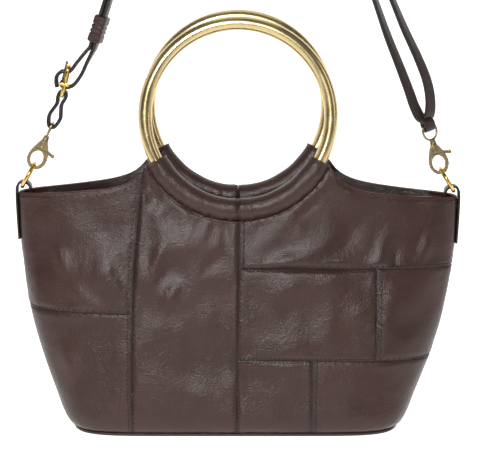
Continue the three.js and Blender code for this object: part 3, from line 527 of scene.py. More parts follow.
PATCHES = table(
    "name left right bottom top",
    ("patch_left_top", LEFT_SIDE, stop(left_seam, -1), over(left_band), rim_height),
    ("patch_left_low", LEFT_SIDE, stop(left_seam, -1), panel_foot, under(left_band)),
    ("patch_centre", stop(left_seam, 1), stop(middle_seam, -1), panel_foot, rim_height),
    ("patch_right_top", stop(middle_seam, 1), RIGHT_SIDE, over(upper_band), rim_height),
    ("patch_right_mid", stop(middle_seam, 1), stop(side_seam, -1), over(lower_band), under(upper_band)),
    ("patch_right_side", stop(side_seam, 1), RIGHT_SIDE, over(lower_band), under(upper_band)),
    ("patch_low_inner", stop(middle_seam, 1), stop(low_seam, -1), panel_foot, under(lower_band)),
    ("patch_low_outer", stop(low_seam, 1), RIGHT_SIDE, panel_foot, under(lower_band)),
)


# How the leather lies beside a seam: the fold itself, the swell beside it and the dent of the stitches
SEAM_SHAPE = table("aside height width", (0, -0.7, 0.8), (4.2, 0.3, 2.4), (1.55, -0.22, 0.45))
SEAM_STEPS = (0.45, 0.95, 1.5, 2.1, 3, 4.4, 6.5)
PUCKER_REACH = 26
PUCKER_DEPTH = 1.5
PUCKER_FADE = 11
FAR = 99
STITCH_RISE = 0.12


def spread(length, cell, fine=SEAM_STEPS):
    """Shares along a length: fine steps by both ends, where the seams are, and even ones between."""
    inner = length - 2 * fine[-1]
    count = max(1, round(inner / cell))
    places = [0, *fine]
    places += [fine[-1] + inner * (k + 1) / count for k in range(count - 1)]
    places += [length - f for f in reversed(fine)] + [length]
    return [place / length for place in places]


class Panel:
    """Part of the skin between two edges across the bag and two up it, and what its seams do to it."""

    def __init__(self, face, left, right, bottom, top, outset=0.0, seams="lrbt"):
        self.face = face
        self.left = left
        self.right = right
        self.bottom = bottom
        self.top = top
        self.outset = outset
        self.seams = seams
        self.wide = sum((self.bare(k / 24, 0.5) - self.bare((k + 1) / 24, 0.5)).length for k in range(24))
        self.high = (self.bare(0.5, 1) - self.bare(0.5, 0)).length

    def angle(self, share, z):
        ends = [
            edge["side"] * math.pi / 2 if "side" in edge else angle_at(edge["x"](z), z)
            for edge in (self.left, self.right)
        ]
        if "side" in self.left and "side" not in self.right:
            share = share**SIDE_STOP_EASE
        elif "side" in self.right and "side" not in self.left:
            share = 1 - (1 - share) ** SIDE_STOP_EASE
        return mix(ends[0], ends[1], share)

    @functools.lru_cache(maxsize=None)
    def height(self, share, edge):
        z = BAG_HEIGHT / 2
        for _ in range(8):
            z = edge(across_at_angle(self.angle(share, z), z))
        return z

    def spot(self, across, up):
        z = mix(self.height(across, self.bottom), self.height(across, self.top), up)
        return self.angle(across, z), z

    def bare(self, across, up):
        return skin_point(self.face, *self.spot(across, up))

    def edges(self, across, up):
        """Distances to the left, right, bottom and top edges."""
        return (across * self.wide, (1 - across) * self.wide, up * self.high, (1 - up) * self.high)

    def relief(self, point, distances):
        """How far the leather stands out of its plain shape."""
        look = bpy.context.scene.bag_leather
        x, y, z = point
        seam = min((d for d, key in zip(distances, "lrbt") if key in self.seams), default=FAR)
        out = sum(row["height"] * bump_at(seam - row["aside"], row["width"]) for row in SEAM_SHAPE)
        out += 0.42 * noise.noise(Vector((x, y, z)) / 5.5) * bump_at(seam - 3.5, 4.5)
        broad = noise.noise(Vector((x / 46, self.face * 9.3, z / 34)))
        small = noise.noise(Vector((x / 15 + 5, self.face * 4.1, z / 19)))
        folds = 1.5 * broad + 0.55 * small + 0.5 * noise.noise(Vector((x / 28, z / 70, 7.7)))
        if self.face == FRONT:
            for crease in CREASES:
                run = Vector((crease["run"], crease["rise"]))
                reach = Vector((x - crease["x"], z - crease["z"]))
                share = min(1, max(0, reach.dot(run) / run.length_squared))
                bend = 2.4 * noise.noise(Vector((share * 2, crease["x"], 1.3)))
                aside = (reach - run * share).length + bend * 0.4
                taper = 1 - (2 * share - 1) ** 2 * 0.75
                folds += crease["depth"] * taper * bump_at(aside, crease["width"])
        crease_way = math.hypot(x, z - CREASE_HEIGHT - crease_radius * math.cos(RING_LEAN))
        below = max(0, crease_way - crease_radius)
        if abs(x) < sleeve_end_x + 6 and below < PUCKER_REACH:
            turn = math.atan2(x, CREASE_HEIGHT + crease_radius - z)
            pucker = noise.noise(Vector((turn * 13, 3.1 * self.face, below / 30)))
            folds += PUCKER_DEPTH * pucker * math.exp(-below / PUCKER_FADE)
        end = half_width_at(z) - abs(x - section_at("drift", z))
        calm = (1 - bump_at(seam, 3.0)) * (1 - 0.9 * bump_at(end, 9))
        rim = 1 - 0.6 * bump_at(distances[3], 10)
        calm *= mix(0.4, 1.15, min(1, z / 130))
        return out + look.wrinkle_depth / MM * folds * calm * rim

    def place(self, across, up, proud=0.0):
        angle, z = self.spot(across, up)
        point = skin_point(self.face, angle, z)
        way = skin_normal(self.face, angle, z)
        return point + way * (self.outset + proud + self.relief(point, self.edges(across, up)))

    def build(self, name, cell, thickness, round_edge):
        columns = spread(self.wide, cell)
        rows = spread(self.high, cell)
        seen = {}

        # Painted shade mask: one right at a seam, fading within about a millimetre
        def seam_shade_mark(i, j):
            distances = self.edges(columns[i], rows[j])
            seam = min((d for d, key in zip(distances, "lrb") if key in self.seams), default=FAR)
            return bump_at(seam, 1.05)

        # Painted highlight mask along the rim fold
        def rim_highlight_mark(i, j):
            return bump_at(self.edges(columns[i], rows[j])[3], 2.2) if self.top is rim_height else 0.0

        def place(i, j):
            if (i, j) not in seen:
                seen[i, j] = to_row(self.place(columns[i], rows[j]))
            return seen[i, j]

        marks = {"seam": seam_shade_mark, "rim": rim_highlight_mark}
        piece = surface(name, len(columns) - 1, len(rows) - 1, place, marks=marks)
        if self.face == BACK:
            piece.data.flip_normals()
        return thicken(piece, thickness * MM, round_edge * MM)

    def stitches(self, side, inset, pitch, start=0.0, end=1.0):
        """Places and ways of the stitches in a row beside one edge."""
        long = self.high if side in "lr" else self.wide
        off = inset / (self.wide if side in "lr" else self.high)
        fixed = off if side in "lb" else 1 - off
        count = max(1, round(long * (end - start) / pitch))
        row = []
        for k in range(count):
            along = start + (end - start) * (k + 0.5) / count
            at = (fixed, along) if side in "lr" else (along, fixed)
            ahead = (fixed, along + 0.004) if side in "lr" else (along + 0.004, fixed)
            point = self.place(*at, STITCH_RISE)
            way = (self.place(*ahead, STITCH_RISE) - point).normalized()
            row.append((point, way))
        return row


def sew(name, rows):
    """All stitches of a seam as one piece: short threads that dip into the leather at both ends."""
    look = bpy.context.scene.bag_leather
    mesh = bmesh.new()
    for point, way in rows:
        made = bmesh.ops.create_uvsphere(mesh, u_segments=6, v_segments=4, radius=0.5)
        turn = Vector((0, 0, 1)).rotation_difference(way)
        for vert in made["verts"]:
            local = Vector((vert.co.x * look.thread, vert.co.y * look.thread, vert.co.z * look.stitch))
            vert.co = to_row(point + turn @ local)
    piece = finish_mesh(name, mesh)
    dress(piece, "dark_leather", finish="Thread")


# Materials


class Value:
    """A shader socket that takes part in sums, so that a pattern reads as an expression."""

    def __init__(self, tree, socket):
        self.tree = tree
        self.socket = socket

    def sum(self, operation, *others, clamp=False):
        node = self.tree.nodes.new("ShaderNodeMath")
        node.operation = operation
        node.use_clamp = clamp
        for slot, value in zip(node.inputs, others):
            join_socket(self.tree, value, slot)
        return Value(self.tree, node.outputs[0])

    def __add__(self, other):
        return self.sum("ADD", self, other)

    def __radd__(self, other):
        return self.sum("ADD", other, self)

    def __sub__(self, other):
        return self.sum("SUBTRACT", self, other)

    def __rsub__(self, other):
        return self.sum("SUBTRACT", other, self)

    def __mul__(self, other):
        return self.sum("MULTIPLY", self, other)

    def __rmul__(self, other):
        return self.sum("MULTIPLY", other, self)

    def held(self):
        return self.sum("ADD", self, 0.0, clamp=True)


def join_socket(tree, value, slot):
    """Sets a socket to a number or colour, or links it to what gives its value."""
    if isinstance(value, Value):
        tree.links.new(value.socket, slot)
    else:
        slot.default_value = value


class Finish:
    """A surface finish: a Principled shader and the nodes that feed it."""

    def __init__(self, name):
        self.material = bpy.data.materials.new(name)
        self.material.use_nodes = True
        self.tree = self.material.node_tree
        self.shader = self.tree.nodes["Principled BSDF"]

    def node(self, kind, settings=None, inputs=None, output=0):
        node = self.tree.nodes.new(kind)
        for key, value in (settings or {}).items():
            setattr(node, key, value)
        for key, value in (inputs or {}).items():
            join_socket(self.tree, value, node.inputs[key])
        return Value(self.tree, node.outputs[output])

    def place(self):
        return self.node("ShaderNodeTexCoord", output=3)

    def mark(self, name):
        return self.node("ShaderNodeAttribute", {"attribute_name": name}, output=2)

    def cloud(self, size, detail=2.0, rough=0.5, place=None):
        inputs = {"Vector": place or self.place(), "Scale": 1 / size, "Detail": detail, "Roughness": rough}
        return self.node("ShaderNodeTexNoise", inputs=inputs)

    def cells(self, size):
        return self.node("ShaderNodeTexVoronoi", inputs={"Vector": self.place(), "Scale": 1 / size})

    def stretch(self, low, high, value):
        inputs = {"Value": value, "From Min": low, "From Max": high}
        return self.node("ShaderNodeMapRange", inputs=inputs)

    def tint(self, share, a, b):
        node = self.tree.nodes.new("ShaderNodeMix")
        node.data_type = "RGBA"
        join_socket(self.tree, share, node.inputs["Factor"])
        join_socket(self.tree, a, node.inputs[6])
        join_socket(self.tree, b, node.inputs[7])
        return Value(self.tree, node.outputs[2])

    def relief(self, height, depth, under=None):
        node = self.tree.nodes.new("ShaderNodeBump")
        node.inputs["Strength"].default_value = 1.0
        node.inputs["Distance"].default_value = depth
        join_socket(self.tree, height, node.inputs["Height"])
        if under:
            join_socket(self.tree, under, node.inputs["Normal"])
        return Value(self.tree, node.outputs[0])

    def set(self, **sockets):
        for key, value in sockets.items():
            join_socket(self.tree, value, self.shader.inputs[key.replace("_", " ")])
        return self.material


def shade(colour, factor=1.0, red=1.0):
    return (min(1, colour[0] * factor * red), min(1, colour[1] * factor), min(1, colour[2] * factor), 1)


def leather_finish(name, colour, rim_highlight=1.0):
    """Smooth leather: fine pebbled grain, soft cloudy colour, painted shade in the seams and a painted warm
    highlight on turned edges.
    """
    look = bpy.context.scene.bag_leather
    finish = Finish(name)
    clouds = finish.stretch(0.36, 0.66, finish.cloud(0.045, 3, 0.55))
    patches = finish.stretch(0.4, 0.62, finish.cloud(0.011, 3, 0.6))
    grain = finish.cells(look.grain)
    pores = finish.cloud(look.grain * 0.45, 2, 0.6)
    base = finish.tint(clouds * 0.75, shade(colour, 0.86), shade(colour, 1.16, 1.03))
    base = finish.tint(patches * 0.3, base, shade(colour, 1.3, 1.0))
    valleys = finish.stretch(0.45, 0.95, grain)
    base = finish.tint(valleys * 0.4, base, shade(colour, 0.55))
    # Painted shade: the leather is darkened along its seams, where the fold dips and shade falls
    base = finish.tint(finish.mark("seam") * 0.7, base, shade(colour, 0.32, 1.1))
    # Painted highlight: a warm, lighter line along the turned rim and the sleeve ends, weaker on the dark
    # leather
    rim = (finish.mark("rim") * (0.55 + 0.5 * patches)).held()
    base = finish.tint(rim * rim_highlight, base, shade(colour, 1.15, 1.35))
    base = finish.tint(finish.mark("cut_edge") * 0.85, base, shade(colour, 0.3))
    grain_relief = finish.relief((1 - grain) * 0.8 + pores * 0.5, look.grain * 0.2)
    slow = finish.relief(finish.cloud(0.007, 3, 0.55), 0.0005, grain_relief)
    rough = 0.32 + 0.06 * clouds + 0.08 * valleys - 0.02 * patches
    return finish.set(
        Base_Color=base,
        Roughness=rough,
        Normal=slow,
        Coat_Weight=0.04,
        Coat_Roughness=0.32,
        Specular_IOR_Level=0.4,
    )


def thread_finish(name, colour):
    """Waxed thread, with the slant of its twist."""
    finish = Finish(name)
    twist = finish.node(
        "ShaderNodeTexWave",
        {"wave_type": "BANDS", "bands_direction": "DIAGONAL"},
        {"Vector": finish.place(), "Scale": 900.0, "Distortion": 0.5},
        output=1,
    )
    base = finish.tint(twist * 0.5, shade(colour, 1.2), shade(colour, 0.6))
    return finish.set(Base_Color=base, Roughness=0.5 + 0.2 * twist, Normal=finish.relief(twist, 0.00008))


def gold_finish(name, colour, rough, wear):
    """Plated metal: faint clouding, hairlines and small knocks."""
    finish = Finish(name)
    clouds = finish.stretch(0.35, 0.65, finish.cloud(0.02, 3, 0.6))
    hair = finish.node("ShaderNodeMapping", inputs={"Vector": finish.place(), "Scale": (1, 1, 7)})
    lines = finish.cloud(0.0012, 3, 0.7, place=hair)
    base = finish.tint(clouds * 0.5, shade(colour, 0.93), shade(colour, 1.06))
    knocks = finish.stretch(0.62, 0.8, finish.cloud(0.004, 2, 0.6))
    return finish.set(
        Base_Color=base,
        Metallic=1.0,
        Roughness=rough + 0.08 * clouds + wear * lines,
        Normal=finish.relief(lines * 0.3 + knocks, 0.000012),
    )


def antique_finish(name, colour, patina):
    """Cast brass gone dark in its hollows and bright on its edges, where wear has rubbed it."""
    finish = Finish(name)
    hollow = finish.stretch(0.42, 0.75, finish.mark("hollow"))
    stain = finish.stretch(0.42, 0.66, finish.cloud(0.0035, 4, 0.65))
    dark = (hollow * 0.8 + stain * 0.45).held()
    base = finish.tint(dark, shade(colour, 1.1), shade(patina))
    pits = finish.cloud(0.0007, 3, 0.6)
    return finish.set(
        Base_Color=base,
        Metallic=1 - 0.45 * dark,
        Roughness=0.27 + 0.25 * dark,
        Normal=finish.relief(pits + finish.cloud(0.002, 2, 0.5), 0.0001),
    )


def material_for(name):
    """The material of that name, made when it is first asked for."""
    if name in bpy.data.materials:
        return bpy.data.materials[name]
    looks = bpy.context.scene.bag_colours
    make = {
        "Brown leather": lambda: leather_finish(name, looks.leather),
        "Dark leather": lambda: leather_finish(name, looks.dark_leather, 0.6),
        "Thread": lambda: thread_finish(name, looks.thread),
        "Pale gold": lambda: gold_finish(name, looks.ring_gold, 0.2, 0.04),
        "Bright gold": lambda: gold_finish(name, looks.bright_gold, 0.12, 0.05),
        "Antique brass": lambda: antique_finish(name, looks.brass, looks.patina),
    }
    return make[name]()


# Places of the tabs, clasps, strap and buckle

BACKWARDS = Vector((0, 1, 0))
o_ring_radius = (O_RING_DIAMETER - O_RING_WIRE) / 2
layer_step = STRAP_LEATHER + STRAP_LAYER_GAP


def across_at(degrees):
    angle = math.radians(degrees)
    return Vector((math.sin(angle), math.cos(angle), 0))


def ring_seat(side):
    return Vector((side * (BAG_WIDTH / 2 - O_RING_INSET), 0, end_height(side) + O_RING_RISE))


def clasp_places(place):
    """The middle of the O-ring, its tilt, and the clasp's eye bar with the way up the clasp."""
    side = place["side"]
    tilt = math.radians(place["tilt"])
    lean = math.radians(place["lean"])
    seat = ring_seat(side)
    middle = seat + Vector((-side * math.sin(tilt), 0, math.cos(tilt))) * o_ring_radius
    up = Vector((-side * math.sin(lean), 0, math.cos(lean)))
    pin = seat.lerp(middle, 2) + up * (CLASP_HOLE_FOOT - O_RING_WIRE / 2 - TOUCH_GAP)
    return {"middle": middle, "tilt": tilt, "up": up, "bar": pin + up * EYE_BAR_RISE, "turn": place["turn"]}


CLASPS = {place["name"]: clasp_places(place) for place in SIDES}
buckle_up = Vector((math.sin(BUCKLE_LEAN), 0, math.cos(BUCKLE_LEAN)))
buckle_right = Vector((math.cos(BUCKLE_LEAN), 0, -math.sin(BUCKLE_LEAN)))
buckle_middle = (
    CLASPS["left"]["bar"]
    + buckle_right * BUCKLE_PLACE[0] * BUCKLE_LENGTH
    + buckle_up * BUCKLE_PLACE[1] * BUCKLE_LENGTH
)


def at_buckle(right, up, back=0.0):
    return buckle_middle + buckle_right * right + buckle_up * up + BACKWARDS * back


keeper_middle = at_buckle(KEEPER_PLACE[0] * BUCKLE_LENGTH, KEEPER_PLACE[1] * BUCKLE_LENGTH)


def on_arch(radius, angle):
    return Vector((radius * math.cos(angle), 0, ARCH_HEIGHT + radius * math.sin(angle)))


def arch_tangent(start, side, radius):
    """The angle and point at which a straight run from a place meets the arch."""
    span_x = start.x
    span_z = start.z - ARCH_HEIGHT
    distance = math.hypot(span_x, span_z)
    angle = math.atan2(span_z, span_x) + (-1 if side < 0 else 1) * math.acos(radius / distance)
    return angle, on_arch(radius, angle)


inner_arch = ARCH_RADIUS + STRAP_LEATHER / 2
keeper_run = (arch_tangent(keeper_middle, -1, inner_arch)[1] - keeper_middle).normalized()
keeper_across = across_at(KEEPER_TURN)
keeper_across = (keeper_across - keeper_run * keeper_across.dot(keeper_run)).normalized()
keeper_stack = keeper_run.cross(keeper_across)


def arch_rows(radius, left_angle, right_angle, steps):
    angles = [mix(left_angle, right_angle, i / steps) for i in range(steps + 1)]
    return [(on_arch(radius, angle), BACKWARDS) for angle in angles]


def strand(layer, bow_column):
    """One run of the strap from the keeper over the arch to the right clasp's bar."""
    radius = inner_arch + layer * layer_step
    start = keeper_middle + keeper_stack * (layer - 0.5) * layer_step
    rows = [(start + keeper_run * share * KEEPER_LENGTH, keeper_across) for share in (-0.7, -0.5, 0.5, 0.7)]
    leave = rows[-1][0]
    left_angle, left_point = arch_tangent(leave, -1, radius)
    foot = CLASPS["right"]["bar"]
    right_angle, right_point = arch_tangent(foot, 1, radius)
    if left_angle < 0:
        left_angle += 2 * math.pi
    run = right_point - foot
    aside = Vector((run.z, 0, -run.x)).normalized()
    rows.append((leave.lerp(left_point, 0.5), across_at(KEEPER_TURN / 2)))
    rows += arch_rows(radius, left_angle, right_angle, 7)
    for row in reversed(RIGHT_STRANDS):
        point = foot + run * row["along"] + aside * row[bow_column] * run.length
        rows.append((point, across_at(row["turn"])))
    return rows


def clasp_turn():
    """The turn of the strap under the right clasp's bar."""
    clasp = CLASPS["right"]
    hold = EYE_WIRE / 2 + TOUCH_GAP + STRAP_LEATHER / 2
    turn = math.radians(clasp["turn"])
    right = Vector((clasp["up"].z, 0, -clasp["up"].x))
    across = right * math.cos(turn) + BACKWARDS * math.sin(turn)
    front = across.cross(clasp["up"])
    route = ((1, 1.4), (0.97, 0), (0.7, -0.7), (0, -1), (-0.7, -0.7), (-0.97, 0), (-1, 1.4))
    return [
        (clasp["bar"] + front * aside * hold + clasp["up"] * rise * hold, across)
        for aside, rise in route
    ]


def round_bar(hold, degrees):
    """Places round the buckle's bar in its plane, at these angles."""
    turns = [math.radians(turn) for turn in degrees]
    return [(hold * math.cos(turn), hold * math.sin(turn) - BUCKLE_BAR_DROP) for turn in turns]


def by_buckle(rows):
    """Places given in lengths of the buckle from its middle."""
    return [at_buckle(row["right"] * BUCKLE_LENGTH, row["up"] * BUCKLE_LENGTH) for row in rows]


def strap_route():
    """The whole strap, from its fixed end on the buckle's bar to its free end through the buckle."""
    hold = BUCKLE_BAR / 2 + TOUCH_GAP + STRAP_LEATHER / 2
    fixed = [at_buckle(x, z) for x, z in round_bar(hold, (60, 110, 180, 240, 290))]
    rows = [(point, BACKWARDS) for point in fixed + by_buckle(reversed(FIXED_END))]
    rows += strand(0, "inner") + clasp_turn() + list(reversed(strand(1, "outer")))
    return rows + [(point, BACKWARDS) for point in by_buckle(FREE_END)]


def short_loop_route():
    upper = at_buckle(0, -(BUCKLE_LENGTH - BUCKLE_WIRE) / 2)
    lower = CLASPS["left"]["bar"]
    run = lower - upper
    aside = Vector((-run.z, 0, run.x)).normalized()
    down = run.normalized()
    upper_hold = BUCKLE_WIRE / 2 + TOUCH_GAP + STRAP_LEATHER / 2
    lower_hold = EYE_WIRE / 2 + TOUCH_GAP + STRAP_LEATHER / 2

    def strand_points(sign):
        return [
            upper + run * row["along"] + aside * sign * row["spread"] * STRAP_LEATHER
            for row in SHORT_LOOP
        ]

    points = [
        upper - down * upper_hold,
        upper + aside * upper_hold * 0.75 - down * upper_hold * 0.7,
        *strand_points(1),
        lower + aside * lower_hold * 0.8 + down * lower_hold * 0.65,
        lower + down * lower_hold,
        lower - aside * lower_hold * 0.8 + down * lower_hold * 0.65,
        *reversed(strand_points(-1)),
        upper - aside * upper_hold * 0.75 - down * upper_hold * 0.7,
    ]
    return [(point, BACKWARDS) for point in points]


def tab_route(side):
    seat = ring_seat(side)
    hold = O_RING_WIRE / 2 + TOUCH_GAP + TAB_SLACK + TAB_LEATHER / 2
    rim = end_height(side)
    reach = abs(seat.x)

    def outside(z):
        return half_width_at(z) + TOUCH_GAP + TAB_LEATHER / 2

    route = (
        (outside(rim - TAB_REACH), rim - TAB_REACH), (outside(rim - TAB_REACH / 2), rim - TAB_REACH / 2),
        (outside(rim), rim), (reach + hold + 0.4, seat.z + 1), (reach + hold * 0.55, seat.z + hold + 0.2),
        (reach - hold * 0.75, seat.z + hold + 0.6), (reach - hold * 1.9, seat.z + 1),
        (reach - hold * 2, rim - 2), (reach - hold * 2, rim - TAB_INNER_REACH),
    )
    return [(Vector((side * x, 0, z)), BACKWARDS) for x, z in route]


# Sizes and colours


class BagLeather(bpy.types.PropertyGroup):
    """What the leather and its sewing are like."""

    wall: FloatProperty(
        name="Wall", description="Thickness of the body leather", default=0.002, unit="LENGTH"
    )
    turned_edge: FloatProperty(
        name="Turned edge", description="Rounding of a turned leather edge", default=0.0009, unit="LENGTH"
    )
    cell: FloatProperty(
        name="Cell", description="Mesh size away from the seams", default=0.003, unit="LENGTH"
    )
    wrinkle_depth: FloatProperty(
        name="Wrinkles", description="Depth of the soft dents and folds", default=0.0022, unit="LENGTH"
    )
    grain: FloatProperty(
        name="Grain", description="Size of one pebble of the grain", default=0.0011, unit="LENGTH"
    )
    stitch: FloatProperty(name="Stitch", description="Length of one stitch", default=2.0, min=0.5)
    stitch_gap: FloatProperty(
        name="Stitch pitch", description="From one stitch to the next, in mm", default=3.0
    )
    thread: FloatProperty(name="Thread", description="Thickness of the thread, in mm", default=0.95)
    seam_inset: FloatProperty(
        name="Seam inset", description="From a seam to its stitches, in mm", default=1.55
    )


class BagColours(bpy.types.PropertyGroup):
    """The colours of the bag's leather, thread and metal."""

    leather: FloatVectorProperty(
        name="Leather", description="Body leather",
        subtype="COLOR", default=(0.041, 0.0168, 0.0128), min=0, max=1,
    )
    dark_leather: FloatVectorProperty(
        name="Dark leather", description="Strap, tabs and facing",
        subtype="COLOR", default=(0.03, 0.017, 0.014),
    )
    thread: FloatVectorProperty(
        name="Thread", description="Sewing thread", subtype="COLOR", default=(0.012, 0.007, 0.006)
    )
    ring_gold: FloatVectorProperty(
        name="Ring gold", description="Ring handles", subtype="COLOR", default=(0.74, 0.58, 0.3)
    )
    bright_gold: FloatVectorProperty(
        name="Bright gold", description="O-rings and buckle", subtype="COLOR", default=(0.78, 0.5, 0.13)
    )
    brass: FloatVectorProperty(
        name="Brass", description="Swivel clasps", subtype="COLOR", default=(0.34, 0.26, 0.14)
    )
    patina: FloatVectorProperty(
        name="Patina", description="Hollows of the clasps", subtype="COLOR", default=(0.09, 0.06, 0.035)
    )


class BagLight(bpy.types.PropertyGroup):
    """The studio round the bag."""

    key: FloatProperty(
        name="Key", description="Power of the large soft light", default=19, min=0, unit="POWER"
    )
    fill: FloatProperty(name="Fill", description="Power of the side lights", default=2.5, min=0, unit="POWER")
    room: FloatProperty(name="Room", description="Brightness of the white room", default=0.14, min=0)


# The pieces

RING_TURN = math.pi / 2 - RING_LEAN
RIM_STITCH_INSET = 3.4
CREASE_STITCH_INSET = 2.0
CREASE_PITCH = 0.8
SLEEVE_STITCHES = 15
SLEEVE_STITCH_START = -150
SLEEVE_STITCH_SPAN = 320
BASE_CORNERS = 144
BASE_DRAWN_IN = (0.996, 0.988)
BASE_ROUNDING = 0.0008
KEEPER_GROOVES = (-3.4, 0, 3.4)


def in_ring(face, x, y, z):
    """A place in a ring handle's own plane, where z is towards the front."""
    flat = math.cos(RING_TURN)
    upright = math.sin(RING_TURN)
    return ring_centre(face) + Vector((x, y * flat - z * upright, y * upright + z * flat))


def torus(name, radius, wire_radius, steps, sides, turn_to):
    """A ring with a round wire: turn_to takes a place in its own plane into the row frame."""

    def place(i, j):
        angle = 2 * math.pi * i / steps
        turn = 2 * math.pi * j / sides
        reach = radius + wire_radius * math.cos(turn)
        return turn_to(reach * math.cos(angle), reach * math.sin(angle), wire_radius * math.sin(turn))

    return surface(name, steps, sides, place, around=True, closed=True)


def sleeve_place(face, side, along, turn, proud=0.0):
    """A place on a sleeve: along from its middle seam in millimetres, turn round the ring's tube."""
    bottom = -math.pi / 2
    angle = bottom + side * (SEWN_GAP / 2 + along) / ring_radius
    long = sleeve_length()
    near_crease = math.exp(-(1 - math.cos(turn)) * 1.5)
    gather = noise.noise(Vector((along / 3.6, turn * 0.55, face * 3 + side)))
    broad = noise.noise(Vector((along / 15, turn * 0.9, face * 5 - side)))
    out = 1.25 * gather * near_crease + 0.45 * broad
    out -= 0.45 * bump_at(along, 0.8) - 0.3 * bump_at(along - 4, 2.2)
    out += 0.35 * bump_at(long - along, 1.2) - 0.3 * bump_at(long - along - 3, 0.7)
    radius = sleeve_radius - 0.25 + out + proud
    reach = ring_radius + radius * math.cos(turn)
    return in_ring(face, reach * math.cos(angle), reach * math.sin(angle), radius * math.sin(turn))


def sleeve_length():
    return (math.pi / 2 - SLEEVE_END_ANGLE) * ring_radius - SEWN_GAP / 2


def share_at(panel, x):
    """The share across a panel's top edge at which it reaches a place across the bag."""
    low, high = 0.0, 1.0
    for _ in range(30):
        middle = (low + high) / 2
        if panel.bare(middle, 1).x < x:
            low = middle
        else:
            high = middle
    return low


def front_panel(name):
    row = next(row for row in PATCHES if row["name"] == name)
    return Panel(FRONT, row["left"], row["right"], row["bottom"], row["top"])


def back_panel():
    return Panel(BACK, LEFT_SIDE, RIGHT_SIDE, panel_foot, rim_height)


class BAG_OT_front_patches(bpy.types.Operator):
    """The eight leather patches of the front, drawn in at their seams"""

    bl_idname = "bag.front_patches"
    bl_label = "Front patches"

    def execute(self, context):
        look = context.scene.bag_leather
        for row in PATCHES:
            panel = front_panel(row["name"])
            name = row["name"] + "_leather"
            piece = panel.build(name, look.cell / MM, look.wall / MM, look.turned_edge / MM)
            dress(piece, "leather", row["name"])
        return {"FINISHED"}


class BAG_OT_back_and_base(bpy.types.Operator):
    """The back panel and the flat base"""

    bl_idname = "bag.back_and_base"
    bl_label = "Back and base"

    def execute(self, context):
        look = context.scene.bag_leather
        panel = back_panel()
        piece = panel.build("back_panel_leather", look.cell / MM, look.wall / MM, look.turned_edge / MM)
        dress(piece, "leather", "back_panel")
        mesh = bmesh.new()
        bmesh.ops.create_circle(mesh, cap_ends=True, segments=BASE_CORNERS, radius=1)
        for k, vert in enumerate(mesh.verts):
            turn = 2 * math.pi * k / BASE_CORNERS
            face = BACK if turn < math.pi else FRONT
            angle = math.pi / 2 - turn if face == BACK else turn - 3 * math.pi / 2
            point = skin_point(face, angle, BASE_LEATHER + SEAM_GAP)
            vert.co = to_row((point.x * BASE_DRAWN_IN[0], point.y * BASE_DRAWN_IN[1], 0))
        lower = mesh.faces[:]
        raised = bmesh.ops.extrude_face_region(mesh, geom=lower)
        for item in raised["geom"]:
            if isinstance(item, bmesh.types.BMVert):
                item.co.z += BASE_LEATHER * MM
        bmesh.ops.recalc_face_normals(mesh, faces=mesh.faces)
        rim = [edge for edge in mesh.edges if abs(edge.verts[0].co.z - edge.verts[1].co.z) < 1e-7]
        bmesh.ops.bevel(
            mesh, geom=rim, offset=BASE_ROUNDING, segments=3, profile=0.5, affect="EDGES", material=-1,
            clamp_overlap=True,
        )
        base = finish_mesh("base_leather", mesh, smooth=False)
        dress(base, "dark_leather", "base_panel")
        return {"FINISHED"}


class BAG_OT_rim_facings(bpy.types.Operator):
    """The facings turned in along the front and rear rim"""

    bl_idname = "bag.rim_facings"
    bl_label = "Rim facings"

    def execute(self, context):
        look = context.scene.bag_leather
        end = BAG_WIDTH / 2 - FACING_END
        left = {"x": lambda z: -end}
        right = {"x": lambda z: end}
        for face, where in ((FRONT, "front"), (BACK, "rear")):
            outset = -look.wall / MM - 0.1
            panel = Panel(
                face, left, right, lambda x: rim_height(x) - FACING_HEIGHT, rim_height, outset, seams=""
            )
            name = f"rim_facing_{where}_leather"
            piece = panel.build(name, look.cell / MM, FACING_WALL, look.turned_edge / MM)
            dress(piece, "dark_leather", f"rim_facing_{where}")
        return {"FINISHED"}


class BAG_OT_ring_handles(bpy.types.Operator):
    """The two ring handles of pale gold tube"""

    bl_idname = "bag.ring_handles"
    bl_label = "Ring handles"

    def execute(self, context):
        for face, where in ((FRONT, "front"), (BACK, "rear")):
            piece = torus(
                f"ring_{where}_metal", ring_radius, RING_TUBE / 2, 144, 24,
                lambda x, y, z, face=face: to_row(in_ring(face, x, y, z)),
            )
            dress(piece, "ring_gold", f"ring_{where}")
        return {"FINISHED"}


class BAG_OT_sleeves(bpy.types.Operator):
    """The four half sleeves that hold the ring handles, gathered along their crease"""

    bl_idname = "bag.sleeves"
    bl_label = "Sleeves"

    def execute(self, context):
        sides = 40
        long = sleeve_length()
        places = [share * long for share in spread(long, 1.1)]
        for face, where in ((FRONT, "front"), (BACK, "rear")):
            for side, hand in ((-1, "left"), (1, "right")):

                def place(i, j, face=face, side=side):
                    return to_row(sleeve_place(face, side, places[i], 2 * math.pi * j / sides))

                marks = {
                    # Painted shade at the sleeve's middle seam, where its two halves meet
                    "seam": lambda i, j: bump_at(places[i], 1.4),
                    # Painted highlight at the sleeve's hemmed end
                    "rim": lambda i, j: 0.7 * bump_at(long - places[i], 1.2),
                }
                name = f"sleeve_{where}_{hand}"
                piece = surface(
                    name + "_leather", len(places) - 1, sides, place, around=True, capped=False, marks=marks
                )
                thicken(piece, (SLEEVE_LEATHER - 0.4) * MM, 0.0006)
                dress(piece, "leather", name)
        return {"FINISHED"}


